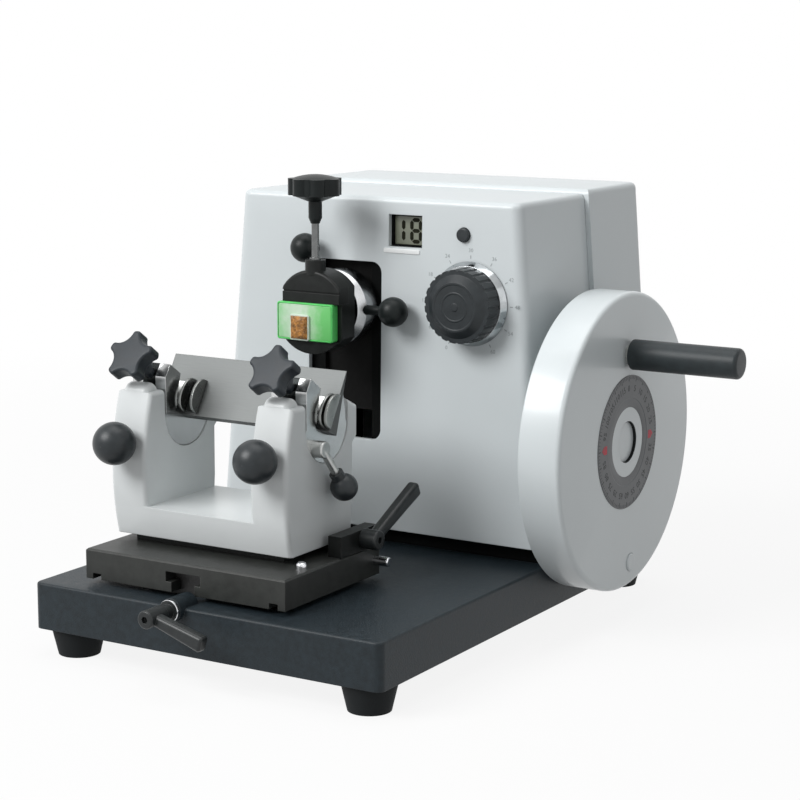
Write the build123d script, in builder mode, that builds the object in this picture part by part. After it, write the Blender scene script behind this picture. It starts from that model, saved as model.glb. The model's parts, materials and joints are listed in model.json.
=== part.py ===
from build123d import *
import os
from math import cos, pi, radians, sin

# A rotary microtome, in millimetres. +X is the handwheel side, +Y the back, +Z up.
# The origin is on the table, under the middle of the machine's overall length and depth.

os.makedirs("parts", exist_ok=True)

# Clearances shared by the fits
running_fit = 0.05          # radial play of a shaft or rod in its bore
press_seat = 0.02           # radial play of a shaft fixed in its hub
air_gap = 0.3               # play between faces that move past each other
standing = (Align.CENTER, Align.MIN)

# Housing: a front shell and a slightly larger rear cover, both narrower at the top
plinth_height = 10.5
plinth_side = 2.0           # insets of the plinth from the casing's outline
plinth_front = 10.0
shell_half = 118.5
shell_taper = 17.0          # how much narrower each side is at the top
shell_height = 210.5
shell_setback = 186.5       # from the base plate's front to the shell's foot
shell_lean = 2.7
shell_depth = 88.5
shell_wall = 3.5
shell_round = 7.0
cover_step = 3.0            # the rear cover stands this far outside the shell
cover_depth = 75.0
cover_screw_radius = 4.0
cover_screw_head = 2.0
cover_screw_slot = 1.0
cover_screw_inset = 14.0
cover_screw_rise = 25.0
cover_screw_drop = 30.5
cover_round = 4.0
shell_top_half = shell_half - shell_taper

# Base plate and feet
base_margin = 2.5           # of the base plate outside the housing, at the sides and behind
back_margin = 2.0
base_width = 2 * (shell_half + base_margin)
base_depth = shell_setback + shell_depth + cover_depth + back_margin
base_thickness = 28.0
base_corner = 5.0
base_edge = 1.5
base_skin = 12.0            # plate above the hollow underside
base_wall = 10.0
foot_height = 17.0
foot_top_radius = 16.5
foot_bottom_radius = 12.5
foot_inset = 18.5
foot_screw_radius = 3.0

# How far the machine reaches past the base plate
lever_reach = 28.0          # the front clamp lever, forward
coarse_reach = 17.0         # the coarse feed wheel, to the left
wheel_gap = 3.0             # from the base plate's side to the handwheel
wheel_thickness = 27.5
handle_length = 73.5

base_x = (coarse_reach - wheel_gap - wheel_thickness - handle_length) / 2
base_y = lever_reach / 2
left = base_x - base_width / 2
right = base_x + base_width / 2
front = base_y - base_depth / 2
back = base_y + base_depth / 2
top = foot_height + base_thickness

# The line that the specimen, the knife and the tee rail share
centre_offset = -22.0
axis_x = base_x + centre_offset

# Levels and faces of the housing
shell_bottom = top + plinth_height
shell_top = shell_bottom + shell_height
shell_front = front + shell_setback
seam = shell_front + shell_depth
cover_back = seam + cover_depth

# Opening for the specimen arm
slot_half = 27.0
slot_rise = 67.0            # of the slot's foot above the base plate
slot_height = 113.0
slot_round = 7.0
seal_lap = 6.0               # of the sealing strips beyond the slot's edges
seal_clear = 1.5             # between the strips and the arm
seal_thickness = 1.5
slot_low = top + slot_rise
slot_high = slot_low + slot_height

# Display, button and section thickness dial
display_inset = 79.5         # in from the shell's top right edge
display_width = 24.0
display_height = 20.0
display_rise = 200.3
display_border = 3.0
display_depth = 7.0
display_recess = 2.5
button_inset = 38.0
button_radius = 4.2
button_travel = 1.5
button_proud = 1.0            # what still stands out when it is pressed
button_rim = 1.5              # thickness of its flange behind the casing
button_flange = 6.0
dial_inset = 33.0
dial_rise = 158.5
dial_radius = 22.5
dial_depth = 15.0
dial_cap_radius = 15.5
dial_flutes = 24
dial_flute_radius = 1.2
dial_bevel = 3.0              # of the knob's front
skirt_bevel = 2.5
skirt_radius = 26.0
skirt_thickness = 4.0
dial_shaft_radius = 4.0
dial_cam_radius = 13.0

# Handwheel, its graduated ring and its handle
wheel_radius = 93.0
wheel_behind = 53.5         # of the main shaft, behind the shell's front
wheel_rise = 72.7
wheel_rim = 12.0
wheel_web = 10.0
wheel_ribs = 4
wheel_rib = 8.0
wheel_hub_radius = 24.0
wheel_edge = 3.0
cap_radius = 13.0
cap_recess = 2.0
cap_thickness = 3.0
ring_inner = 22.5
ring_outer = 41.7
ring_thickness = 1.0
ring_seat = 0.6
handle_offset = 55.0
handle_radius = 9.4
handle_stud_radius = 4.0
handle_boss_radius = 13.0
stud_seat = 16.0
stud_collar = 2.5
grip_wall = 5.0
lock_drop = 78.0
lock_shift = 8.0            # of the lock pin, behind the wheel's axis
lock_head_radius = 5.5
lock_head = 3.0
lock_shank_radius = 3.2
lock_boss_radius = 9.0
lock_travel = 5.0
lock_proud = 1.0

# Main shaft with its crank
shaft_radius = 9.0
shaft_seat = 18.0           # length held in the handwheel
crank_radius = 27.0
crank_disc_radius = 37.0
crank_disc_thickness = 10.0
crank_pin_radius = 6.0
crank_pin_length = 9.0
bearing_outer = 16.0
bearing_length = 12.0
bearing_boss_radius = 23.0
bearing_boss_length = 44.0
bearing_boss_proud = 10.0     # of the boss, beyond the frame's right wall

# Inner frame
frame_wall = 10.0
frame_inset = 32.5          # of each wall's middle inside the shell's side, at its foot
frame_half = shell_half - frame_inset
frame_setback = 18.5        # from the shell's front
frame_lap = 28.0             # how far the walls reach behind the casing's joint
bridge_thickness = 10.0
bridge_depth = 26.0
bridge_drop = 14.0          # of its top below the shell's top
rod_spacing = 64.0
rod_radius = 7.0
rod_setback = 26.0          # from the shell's front

# Vertical slide with the specimen arm
head_rise = 151.3           # of the specimen arm above the base plate, at the top of its stroke
yoke_thickness = 10.0
yoke_depth = 88.0
yoke_height = 30.0
yoke_lap = 4.0              # overlap with the slide block
pin_gap = 0.4               # between the crank pin's end and the yoke
slide_width = 94.0
slide_front = 9.5           # from the shell's front
slide_depth = 36.0
slide_above = 34.0
bush_outer = 10.0
bush_length = 12.0
pawl_pin_radius = 2.5
slide_below = 67.0
arm_radius = 16.0
arm_bore = 6.5
arm_length = 68.0
arm_seat = 4.0              # length held in the flange
bracket_reach = 26.0
bracket_plate = 6.0
bracket_arm = 8.0
bracket_half = 30.0
bracket_low = 20.0          # the rear plate's reach below and above the arm's axis
bracket_high = 38.0
screw_radius = 6.0
feed_collar = 3.0
arm_wall = 12.0             # solid end of the arm in front of its bore
journal_radius = 4.5
ratchet_radius = 24.0
ratchet_teeth = 60
ratchet_tooth = 1.6
ratchet_thickness = 5.0
pawl_reach = 14.0             # of the pawl's pin, right of the wheel's axis
pawl_rise = 31.0
pawl_radius = 5.0
pawl_gap = 0.7                # between the pawl's tip and the teeth

# Specimen head
flange_radius = 24.0
flange_depth = 17.0
flange_nose_radius = 20.5
flange_bevel = 5.0
flange_setback = 1.5        # of its back face, behind the shell's front
socket_gap = 0.3
ball_radius = 10.5
ball_setback = 11.0         # of the ball's centre, in front of the flange's back
neck_radius = 6.3
head_radius = 26.0
head_half = 20.7
head_plate = 6.5            # thickness of the round back plate
head_jaw_depth = 11.5       # how far the jaws stand in front of the plate
head_round = 2.0
head_gap = 4.0              # from the flange's nose to the back plate
head_pocket = 11.0
trunnion_radius = 3.0
trunnion_half = 12.0
cassette_width = 41.0
cassette_height = 23.5
cassette_depth = 6.0
cassette_wall = 1.6
cassette_drop = 6.0         # of the cassette's middle below the arm's axis
cassette_proud = 2.5        # of the jaws' front
cassette_shift = 3.0        # to the left of the arm's axis
block_width = 12.0
block_height = 14.0
block_depth = 3.0
block_shift = 3.0
block_drop = 3.5
jaw_lip = 6.7               # height of the groove above the cassette
jaw_groove = 1.1
spindle_radius = 2.3
spindle_sleeve_radius = 4.2
spindle_taper = 3.5          # of the hub's lower end
spindle_sleeve = 13.4        # hub below the knob
spindle_clear = 22.4        # bare rod between the collar and the sleeve
spindle_depth = 15.0        # of the thread in the head
spindle_knob_radius = 16.8
spindle_knob_rim = 10.3
spindle_knob_cone = 3.9
spindle_knob_dome = 2.5
knob_seat = 14.0            # how far the rod reaches into the knob
spindle_lobes = 7
lobe_radius = 5.0
collar_radius = 6.4
collar_height = 6.0
collar_seat = 3.0           # how far the collar reaches down into the jaw's crown
small_ball_radius = 9.3
small_ball_reach = 42.5
small_stud_radius = 3.0
left_ball_angle = 122.0

# Tee rail and carriage
rail_width = 60.0
rail_plate = 3.0
rail_start = 24.0
rail_gap = 12.5             # from the rail's end to the shell
rail_length = shell_setback - rail_start - rail_gap
tee_stem = 8.0              # half widths and heights of the tee in the carriage
tee_head = 12.0
tee_head_height = 6.0
tee_stem_height = 6.0
bracket_play = 5.0          # from the knife holder to the lever bracket
carriage_depth = 100.0
carriage_height = 18.0
carriage_setback = 15.0
pin_radius = 2.9            # the silver pin in the carriage's right side
pin_reach = 10.0
pin_seat = 12.0
pin_inset = 4.5
carriage_edge = 1.0
small_screw_inset = 8.0       # of the screw on the carriage, from its right edge
small_screw_setback = 43.5
small_screw_radius = 3.2
small_screw_height = 3.6
small_screw_dome = 2.2
groove_width = 6.0
groove_height = 3.5
groove_inset = 8.0
cross_height = 4.9
cross_inset = 3.5
cross_travel = 12.0
cross_depth = 56.0
bracket_width = 9.0
bracket_length = 42.0
bracket_height = 12.5

# Knife holder
holder_width = 126.0
holder_offset = -6.0        # of the holder's middle from the machine's line
holder_setback = 42.0
tower_width = 25.5
holder_floor = 18.5
tower_height = 86.0
cradle_radius = 22.3
cradle_setback = 80.0
cradle_rise = 97.5
cap_width = 19.0
cap_round = 6.4
cap_end = 4.5               # rounding of the caps' ends
cap_proud = 4.9
holder_round = 3.0
belly_rise = 70.0           # where the front face bulges furthest
belly_bulge = 4.7
brow_setback = 3.0
ear_start = 98.0            # the tower's back ear, from the base plate's front
ear_drop = 7.5
ear_back = 113.5
ear_low = 86.0
step_back = 109.0
step_low = 82.0
step_foot = 52.0
foot_back = 106.7
tower_ball_radius = 12.8
tower_ball_rise = 84.0
tower_ball_setback = 25.3
tower_stud_radius = 4.0
tower_stud_reach = 32.5

# Knife, rockers and the screws that hold it
rocker_radius = 22.0
rocker_width = 24.5
fin_gap = 9.0               # between the two fins of each rocker's front bracket
fin_wall = 5.0
fin_floor = 13.0
bracket_face = 59.5         # front of the screw bracket, from the base plate's front
channel_depth = 12.0        # of the knife's channel, ahead of the blade's middle
rocker_flat = 7.5           # heights above the cradle's centre
shoulder_rise = 22.3
crest_rise = 29.2
crest_back = 4.9            # setbacks from the bracket's face
slope_back = 14.7
heel_back = 10.7
jaw_start = 12.0            # down from the knife's edge
jaw_back = 17.5             # behind the cradle's centre
jaw_rise = 18.4
jaw_foot = 4.0
knife_length = 124.0
knife_height = 38.0
knife_back = 9.0
knife_edge = 0.4
knife_lean = 24.0
knife_setback = 95.0
knife_rise = 127.5
knife_shift = 5.0           # of the knife's middle to the right of the holder's
clamp_thickness = 3.5
clamp_width = 19.0
clamp_height = 16.0
clamp_middle = 25.7         # down from the knife's edge
star_radius = 15.6
star_valley = 10.6          # radius at the bottom of the hollows between the lobes
star_hollow = 9.0           # radius of each hollow
star_thickness = 10.0
star_lobes = 5
star_tip_round = 2.2
star_edge = 1.6
star_screw_reach = 42.4
star_hub_radius = 5.6
star_hub = 9.0
star_screw_radius = 3.0
star_slope = 35.0
star_setback = 44.0
star_rise = 132.5

# Levers
front_boss_radius = 7.0
front_boss_rise = -1.0
front_boss_proud = 4.0
front_boss_depth = 13.0
front_lever_shift = 5.5     # of the lever's axis to the right of the machine's line
lever_stud_radius = 3.2
lever_ring_radius = 6.2
lever_ring = 2.5
lever_neck_radius = 4.2
lever_hub_radius = 5.3
lever_arm = 36.6
lever_droop = 17.0
lever_root = 6.6            # width of a lever's arm at its hub and at its end
lever_tip = 9.4
lever_thickness = 7.6
lever_round = 2.4
lever_edge = 1.8
lever_socket = 2.2          # radius of the hexagon socket in each hub
cross_pivot_setback = 97.5
cross_pivot_rise = 28.3
cross_pin_radius = 3.0
cross_hub_radius = 6.0
cross_hub = 11.0
cross_arm = 54.0
cross_slope = 24.0
angle_pivot_setback = 68.2
angle_pivot_rise = 85.5
angle_ball_radius = 8.2
angle_reach = 28.5
angle_slope = -58.0
angle_neck_radius = 4.2
angle_neck = 4.0
angle_hub_radius = 5.0
angle_hub = 7.5
angle_pin = 5.0
angle_rod_radius = 2.5

# Coarse feed wheel on the left
coarse_radius = 32.0
coarse_thickness = 18.0
coarse_rise = 110.0
coarse_behind = 13.0         # of its shaft, behind the joint of the casing
coarse_hub_radius = 12.0
coarse_shaft_radius = 6.0
coarse_lobes = 8

# Places worked out from the sizes above
carriage_width = 2 * (holder_offset + holder_width / 2 + bracket_play + bracket_width)
middle_y = shell_front + wheel_behind
wheel_z = top + wheel_rise
wheel_in = right + wheel_gap
wheel_out = wheel_in + wheel_thickness
head_z = top + head_rise
rod_y = shell_front + rod_setback
slide_y = shell_front + slide_front
coarse_y = seam + coarse_behind
coarse_z = top + coarse_rise
holder_x = axis_x + holder_offset
carriage_y = front + carriage_setback
carriage_low = top + rail_plate + 0.2
carriage_top = carriage_low + carriage_height
holder_low = carriage_top + cross_height
cradle_y = front + cradle_setback
cradle_z = top + cradle_rise
tower_shift = holder_width / 2 - tower_width / 2
dial_x = base_x + shell_top_half - dial_inset
dial_z = top + dial_rise


def facing_front(y):
    """A sketch plane at y: its x is +X, its y is +Z, and it looks forward."""
    return Plane.XZ.offset(-y)


def facing_right(x):
    """A sketch plane at x: its x is +Y, its y is +Z, and it looks to the right."""
    return Plane.YZ.offset(x)


def shell_half_at(z):
    return shell_half + (shell_top_half - shell_half) * (z - shell_bottom) / shell_height


def shell_front_at(z):
    return shell_front + shell_lean * (z - shell_bottom) / shell_height


# Base plate: a hollow casting with four foot bosses and the front lever's boss
boss_x = axis_x + front_lever_shift
boss_z = top + front_boss_rise
foot_places = [
    (base_x + side * (base_width / 2 - foot_inset), base_y + end * (base_depth / 2 - foot_inset))
    for side in (-1, 1)
    for end in (-1, 1)
]
lock_y = middle_y + lock_shift
lock_z = wheel_z - lock_drop
lock_hole = (lock_y, lock_z)
with BuildPart() as base_plate:
    with BuildSketch(Plane.XY.offset(foot_height)):
        with Locations((base_x, base_y)):
            RectangleRounded(base_width, base_depth, base_corner)
    extrude(amount=base_thickness)
    rim = base_plate.faces().sort_by(Axis.Z)[-1].edges()
    fillet(rim, base_edge)
    with BuildSketch(Plane.XY.offset(foot_height)):
        with Locations((base_x, base_y)):
            Rectangle(base_width - 2 * base_wall, base_depth - 2 * base_wall)
            Rectangle(base_wall, base_depth, mode=Mode.SUBTRACT)
            Rectangle(base_width, base_wall, mode=Mode.SUBTRACT)
        with Locations(*foot_places):
            Circle(foot_top_radius + 2, mode=Mode.SUBTRACT)
    extrude(amount=base_thickness - base_skin, mode=Mode.SUBTRACT)
    with BuildSketch(facing_front(front - front_boss_proud)):
        with Locations((boss_x, boss_z)):
            Circle(front_boss_radius)
    extrude(amount=-(front_boss_proud + front_boss_depth))
    with BuildSketch(facing_front(front - front_boss_proud)):
        with Locations((boss_x, boss_z)):
            Circle(lever_stud_radius + running_fit)
    extrude(amount=-(front_boss_proud + front_boss_depth), mode=Mode.SUBTRACT)
    with BuildSketch(Plane.XY.offset(foot_height)):
        with Locations(*foot_places):
            Circle(foot_screw_radius + press_seat)
    extrude(amount=base_thickness - base_skin, mode=Mode.SUBTRACT)
    with BuildSketch(facing_right(right)):
        with Locations(lock_hole):
            Circle(lock_shank_radius + 2 * air_gap)
    extrude(amount=-base_wall, mode=Mode.SUBTRACT)
base_plate.part.label = "base_plate"
export_step(base_plate.part, "parts/base_plate.step")

# Feet: tapered rubber buffers on screws
with BuildPart() as rubber_feet:
    for place in foot_places:
        with BuildSketch(Plane.XY):
            with Locations(place):
                Circle(foot_bottom_radius)
        with BuildSketch(Plane.XY.offset(foot_height)):
            with Locations(place):
                Circle(foot_top_radius)
        loft()
        with BuildSketch(Plane.XY.offset(foot_height)):
            with Locations(place):
                Circle(foot_screw_radius)
        extrude(amount=base_thickness - base_skin - 1)
rubber_feet.part.label = "rubber_feet"
export_step(rubber_feet.part, "parts/rubber_feet.step")

# Tee rail: the steel guide that the carriage runs on
rail_y = front + rail_start
tee_low = top + rail_plate
with BuildPart() as tee_rail:
    with BuildSketch(facing_front(rail_y)):
        with Locations((axis_x, top)):
            Rectangle(rail_width, rail_plate, align=standing)
        with Locations((axis_x, tee_low)):
            Rectangle(2 * tee_stem, tee_stem_height + tee_head_height - air_gap, align=standing)
        with Locations((axis_x, tee_low + tee_stem_height + 2 * air_gap)):
            Rectangle(2 * tee_head, tee_head_height - 3 * air_gap, align=standing)
    extrude(amount=-rail_length)
tee_rail.part.label = "tee_rail"
export_step(tee_rail.part, "parts/tee_rail.step")

# Carriage: a ground block with a tee slot, and reliefs along its lower edges
pin_place = (carriage_y + carriage_depth - pin_inset, carriage_low + carriage_height / 2)
with BuildPart() as carriage_block:
    with BuildSketch(facing_front(carriage_y)):
        with Locations((axis_x, carriage_low)):
            Rectangle(carriage_width, carriage_height, align=standing)
            Rectangle(2 * (tee_stem + air_gap), tee_stem_height + 1, align=standing, mode=Mode.SUBTRACT)
        with Locations((axis_x, carriage_low + tee_stem_height)):
            Rectangle(2 * (tee_head + air_gap), tee_head_height, align=standing, mode=Mode.SUBTRACT)
        for side in (-1, 1):
            with Locations((axis_x + side * (carriage_width / 2 - groove_inset), carriage_low)):
                Rectangle(groove_width, groove_height, align=standing, mode=Mode.SUBTRACT)
    extrude(amount=-carriage_depth)
    outer = carriage_block.faces().sort_by(Axis.Z)[-1].edges()
    chamfer(outer, carriage_edge)
    with BuildSketch(facing_right(axis_x + carriage_width / 2)):
        with Locations(pin_place):
            Circle(pin_radius + press_seat)
    extrude(amount=-pin_seat, mode=Mode.SUBTRACT)
carriage_block.part.label = "carriage_block"
export_step(carriage_block.part, "parts/carriage_block.step")

# Cross slide: the dark plate under the knife holder, and the side lever's bracket beside it
bracket_x = axis_x + carriage_width / 2 - bracket_width
bracket_y = carriage_y + carriage_depth - bracket_length
with BuildPart() as cross_slide:
    with BuildSketch(Plane.XY.offset(carriage_top)):
        with Locations((holder_x, cradle_y - 3)):
            Rectangle(holder_width - 2 * cross_inset - cross_travel, cross_depth)
    extrude(amount=cross_height)
cross_slide.part.label = "cross_slide"
export_step(cross_slide.part, "parts/cross_slide.step")

with BuildPart() as lever_bracket:
    with BuildSketch(Plane.XY.offset(carriage_top)):
        with Locations((bracket_x, bracket_y)):
            Rectangle(bracket_width, bracket_length - 2, align=(Align.MIN, Align.MIN))
    extrude(amount=bracket_height)
    with BuildSketch(facing_right(bracket_x + bracket_width)):
        with Locations((front + cross_pivot_setback, top + cross_pivot_rise)):
            Circle(cross_pin_radius + running_fit)
    extrude(amount=-(bracket_width - 1), mode=Mode.SUBTRACT)
lever_bracket.part.label = "lever_bracket"
export_step(lever_bracket.part, "parts/lever_bracket.step")

# Small steel pieces that show: a screw on the carriage's top and a pin in its right side
with BuildPart() as carriage_screw:
    with BuildSketch(Plane.XY.offset(carriage_top)):
        with Locations((axis_x + carriage_width / 2 - small_screw_inset, front + small_screw_setback)):
            Circle(small_screw_radius)
    extrude(amount=small_screw_height)
    fillet(carriage_screw.faces().sort_by(Axis.Z)[-1].edges(), small_screw_dome)
carriage_screw.part.label = "carriage_screw"
export_step(carriage_screw.part, "parts/carriage_screw.step")

with BuildPart() as stop_screw:
    with BuildSketch(facing_right(axis_x + carriage_width / 2 - pin_seat)):
        with Locations(pin_place):
            Circle(pin_radius)
    extrude(amount=pin_seat + pin_reach)
    fillet(stop_screw.faces().sort_by(Axis.X)[-1].edges(), pin_radius / 3)
stop_screw.part.label = "stop_screw"
export_step(stop_screw.part, "parts/stop_screw.step")

# Inner frame: plinth, two walls, the bridge over the guide rods and the main bearing boss
frame_y = shell_front + frame_setback
bridge_top = shell_top - bridge_drop
bridge_low = bridge_top - bridge_thickness
boss_right = base_x + frame_half + frame_wall / 2 + bearing_boss_proud
boss_left = boss_right - bearing_boss_length
rod_places = [(axis_x + side * rod_spacing / 2, rod_y) for side in (-1, 1)]
with BuildPart() as main_frame:
    with BuildSketch(Plane.XY.offset(top)):
        with Locations((base_x, shell_front + plinth_front)):
            plinth_depth = cover_back - plinth_side - shell_front - plinth_front
            Rectangle(2 * (shell_half - plinth_side), plinth_depth, align=standing)
    extrude(amount=plinth_height)
    with BuildSketch(Plane.XY.offset(shell_bottom - 1)):
        for side in (-1, 1):
            with Locations((base_x + side * frame_half, frame_y)):
                Rectangle(frame_wall, seam + frame_lap - frame_y, align=standing)
    extrude(amount=bridge_top - shell_bottom + 1)
    with BuildSketch(Plane.XY.offset(bridge_low)):
        with Locations((base_x, rod_y)):
            Rectangle(2 * frame_half, bridge_depth)
    extrude(amount=bridge_thickness)
    with BuildSketch(facing_right(boss_left)):
        with Locations((middle_y, wheel_z)):
            Circle(bearing_boss_radius)
    extrude(amount=bearing_boss_length)
    with BuildSketch(facing_right(boss_left)):
        with Locations((middle_y, wheel_z)):
            Circle(shaft_radius + 1)
    extrude(amount=bearing_boss_length, mode=Mode.SUBTRACT)
    for start in (boss_left, boss_right - bearing_length):
        with BuildSketch(facing_right(start)):
            with Locations((middle_y, wheel_z)):
                Circle(bearing_outer + press_seat)
        extrude(amount=bearing_length, mode=Mode.SUBTRACT)
    with BuildSketch(facing_right(base_x - frame_half - frame_wall / 2)):
        with Locations((coarse_y, coarse_z)):
            Circle(coarse_shaft_radius + running_fit)
    extrude(amount=frame_wall, mode=Mode.SUBTRACT)
    with BuildSketch(Plane.XY.offset(bridge_low)):
        with Locations(*rod_places):
            Circle(rod_radius + press_seat)
    extrude(amount=bridge_thickness, mode=Mode.SUBTRACT)
main_frame.part.label = "main_frame"
export_step(main_frame.part, "parts/main_frame.step")

# Guide rods of the vertical slide
with BuildPart() as guide_rods:
    with BuildSketch(Plane.XY.offset(shell_bottom)):
        with Locations(*rod_places):
            Circle(rod_radius)
    extrude(amount=bridge_top + 2 - shell_bottom)
guide_rods.part.label = "guide_rods"
export_step(guide_rods.part, "parts/guide_rods.step")

# Main bearings: two bronze rings in the boss
with BuildPart() as main_bearings:
    for start in (boss_left, boss_right - bearing_length):
        with BuildSketch(facing_right(start)):
            with Locations((middle_y, wheel_z)):
                Circle(bearing_outer)
                Circle(shaft_radius + running_fit, mode=Mode.SUBTRACT)
        extrude(amount=bearing_length)
main_bearings.part.label = "main_bearings"
export_step(main_bearings.part, "parts/main_bearings.step")

# Front shell: a tapered casing, open at the back and below
button_x = base_x + shell_top_half - button_inset
display_x = base_x + shell_top_half - display_inset
display_z = top + display_rise
slot_middle = (slot_low + slot_high) / 2
with BuildPart() as front_shell:
    for z, half in ((shell_bottom, shell_half), (shell_top, shell_top_half)):
        with BuildSketch(Plane.XY.offset(z)):
            with Locations((base_x, seam)):
                Rectangle(2 * half, seam - shell_front_at(z), align=(Align.CENTER, Align.MAX))
    loft()
    upright = front_shell.edges().filter_by(lambda e: abs(e.tangent_at(0.5).Z) > 0.8)
    fillet(upright.sort_by(Axis.Y)[:2], shell_round)
    rim = front_shell.faces().sort_by(Axis.Z)[-1].edges()
    fillet(rim.filter_by(lambda e: e.center().Y < seam - 1), cover_round)
    inner_low = shell_bottom - 1
    inner_high = shell_top - shell_wall
    for z in (inner_low, inner_high):
        with BuildSketch(Plane.XY.offset(z)):
            with Locations((base_x, seam + 1)):
                inner_depth = seam + 1 - shell_front_at(z) - shell_wall
                Rectangle(2 * (shell_half_at(z) - shell_wall), inner_depth, align=(Align.CENTER, Align.MAX))
    loft(mode=Mode.SUBTRACT)
    with BuildSketch(facing_front(shell_front - 1)):
        with Locations((axis_x, slot_middle)):
            RectangleRounded(2 * slot_half, slot_height, slot_round)
        with Locations((display_x, display_z)):
            Rectangle(display_width, display_height)
        with Locations((button_x, display_z)):
            Circle(button_radius + air_gap)
        with Locations((dial_x, dial_z)):
            Circle(dial_shaft_radius + air_gap)
    extrude(amount=-(shell_lean + shell_wall + 3), mode=Mode.SUBTRACT)
    with BuildSketch(facing_right(base_x + frame_half + frame_wall)):
        with Locations((middle_y, wheel_z)):
            Circle(shaft_radius + 3)
    extrude(amount=shell_half - frame_half, mode=Mode.SUBTRACT)
front_shell.part.label = "front_shell"
export_step(front_shell.part, "parts/front_shell.step")

# Rear cover: a slightly larger tapered hood that closes the back
with BuildPart() as rear_cover:
    for z, half in ((shell_bottom, shell_half), (shell_top + cover_step, shell_top_half)):
        with BuildSketch(Plane.XY.offset(z)):
            with Locations((base_x, seam + air_gap)):
                Rectangle(2 * (half + cover_step), cover_depth - air_gap, align=standing)
    loft()
    upright = rear_cover.edges().filter_by(lambda e: abs(e.tangent_at(0.5).Z) > 0.8)
    fillet(upright.sort_by(Axis.Y)[-2:], shell_round)
    fillet(rear_cover.faces().sort_by(Axis.Z)[-1].edges(), cover_round)
    for z, half in ((shell_bottom - 1, shell_half_at(shell_bottom - 1)), (shell_top - 1, shell_top_half)):
        with BuildSketch(Plane.XY.offset(z)):
            with Locations((base_x, seam - 1)):
                inner = half + cover_step - shell_wall
                Rectangle(2 * inner, cover_depth + 1 - shell_wall, align=standing)
    loft(mode=Mode.SUBTRACT)
    with BuildSketch(facing_right(base_x - shell_half - cover_step)):
        with Locations((coarse_y, coarse_z)):
            Circle(coarse_shaft_radius + 2)
    extrude(amount=shell_half + cover_step - frame_half - frame_wall, mode=Mode.SUBTRACT)
rear_cover.part.label = "rear_cover"
export_step(rear_cover.part, "parts/rear_cover.step")

# Screws of the rear cover, in its back wall
cover_screw_levels = (shell_bottom + cover_screw_rise, shell_top - cover_screw_drop)
cover_screw_places = [
    (base_x + side * (shell_top_half - cover_screw_inset), level)
    for side in (-1, 1)
    for level in cover_screw_levels
]
with BuildPart() as cover_screws:
    with BuildSketch(facing_front(cover_back)):
        with Locations(*cover_screw_places):
            Circle(cover_screw_radius)
    extrude(amount=-cover_screw_head)
    with BuildSketch(facing_front(cover_back + cover_screw_head)):
        with Locations(*cover_screw_places):
            SlotOverall(1.5 * cover_screw_radius, cover_screw_slot)
    extrude(amount=cover_screw_slot, mode=Mode.SUBTRACT)
cover_screws.part.label = "cover_screws"
export_step(cover_screws.part, "parts/cover_screws.step")

# Dark sealing strips behind the slot
seal_y = shell_front_at(slot_high) + shell_wall + air_gap
seal_width = slot_half + seal_lap - arm_radius - seal_clear
with BuildPart() as slot_seal:
    with BuildSketch(facing_front(seal_y)):
        for side in (-1, 1):
            with Locations((axis_x + side * (arm_radius + seal_clear + seal_width / 2), slot_middle)):
                Rectangle(seal_width, slot_height + 2 * seal_lap)
    extrude(amount=-seal_thickness)
slot_seal.part.label = "slot_seal"
export_step(slot_seal.part, "parts/slot_seal.step")

# Display module behind its window
display_y = shell_front_at(display_z + display_height) + shell_wall + 0.1
with BuildPart() as display_module:
    with BuildSketch(facing_front(display_y)):
        with Locations((display_x, display_z)):
            Rectangle(display_width + 2 * display_border, display_height + 2 * display_border)
    extrude(amount=-display_depth + 0.5)
    with BuildSketch(facing_front(display_y)):
        with Locations((display_x, display_z)):
            Rectangle(display_width - 2, display_height - 2)
    extrude(amount=-display_recess, mode=Mode.SUBTRACT)
display_module.part.label = "display_module"
export_step(display_module.part, "parts/display_module.step")

# Push button beside the display
button_face = shell_front_at(display_z) - button_travel - button_proud
with BuildPart() as push_button:
    with BuildSketch(facing_front(button_face)):
        with Locations((button_x, display_z)):
            Circle(button_radius)
    extrude(amount=-(button_travel + button_proud + shell_wall + 1))
    fillet(push_button.faces().sort_by(Axis.Y)[0].edges(), button_proud - air_gap)
    with BuildSketch(facing_front(shell_front_at(display_z) + shell_wall + 0.5)):
        with Locations((button_x, display_z)):
            Circle(button_flange)
    extrude(amount=-button_rim)
push_button.part.label = "push_button"
export_step(push_button.part, "parts/push_button.step")

# Thickness dial: a fluted knob on a chrome skirt, with a cam inside the casing
skirt_back = shell_front_at(dial_z) - 2 * air_gap
skirt_front = skirt_back - skirt_thickness
dial_front = skirt_front - dial_depth
with BuildPart() as dial_knob:
    with BuildSketch(facing_front(skirt_front)):
        with Locations((dial_x, dial_z)):
            Circle(dial_radius)
    extrude(amount=dial_depth - dial_bevel)
    with BuildSketch(facing_front(skirt_front)):
        with Locations((dial_x, dial_z)):
            with PolarLocations(dial_radius + dial_flute_radius / 3, dial_flutes):
                Circle(dial_flute_radius)
    extrude(amount=dial_depth - dial_bevel, mode=Mode.SUBTRACT)
    with BuildSketch(facing_front(dial_front + dial_bevel)):
        with Locations((dial_x, dial_z)):
            Circle(dial_radius - dial_bevel)
    with BuildSketch(facing_front(dial_front)):
        with Locations((dial_x, dial_z)):
            Circle(dial_cap_radius)
    loft()
dial_knob.part.label = "dial_knob"
export_step(dial_knob.part, "parts/dial_knob.step")

with BuildPart() as dial_skirt:
    with BuildSketch(facing_front(skirt_back)):
        with Locations((dial_x, dial_z)):
            Circle(skirt_radius)
    with BuildSketch(facing_front(skirt_front)):
        with Locations((dial_x, dial_z)):
            Circle(skirt_radius - skirt_bevel)
    loft()
dial_skirt.part.label = "dial_skirt"
export_step(dial_skirt.part, "parts/dial_skirt.step")

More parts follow.
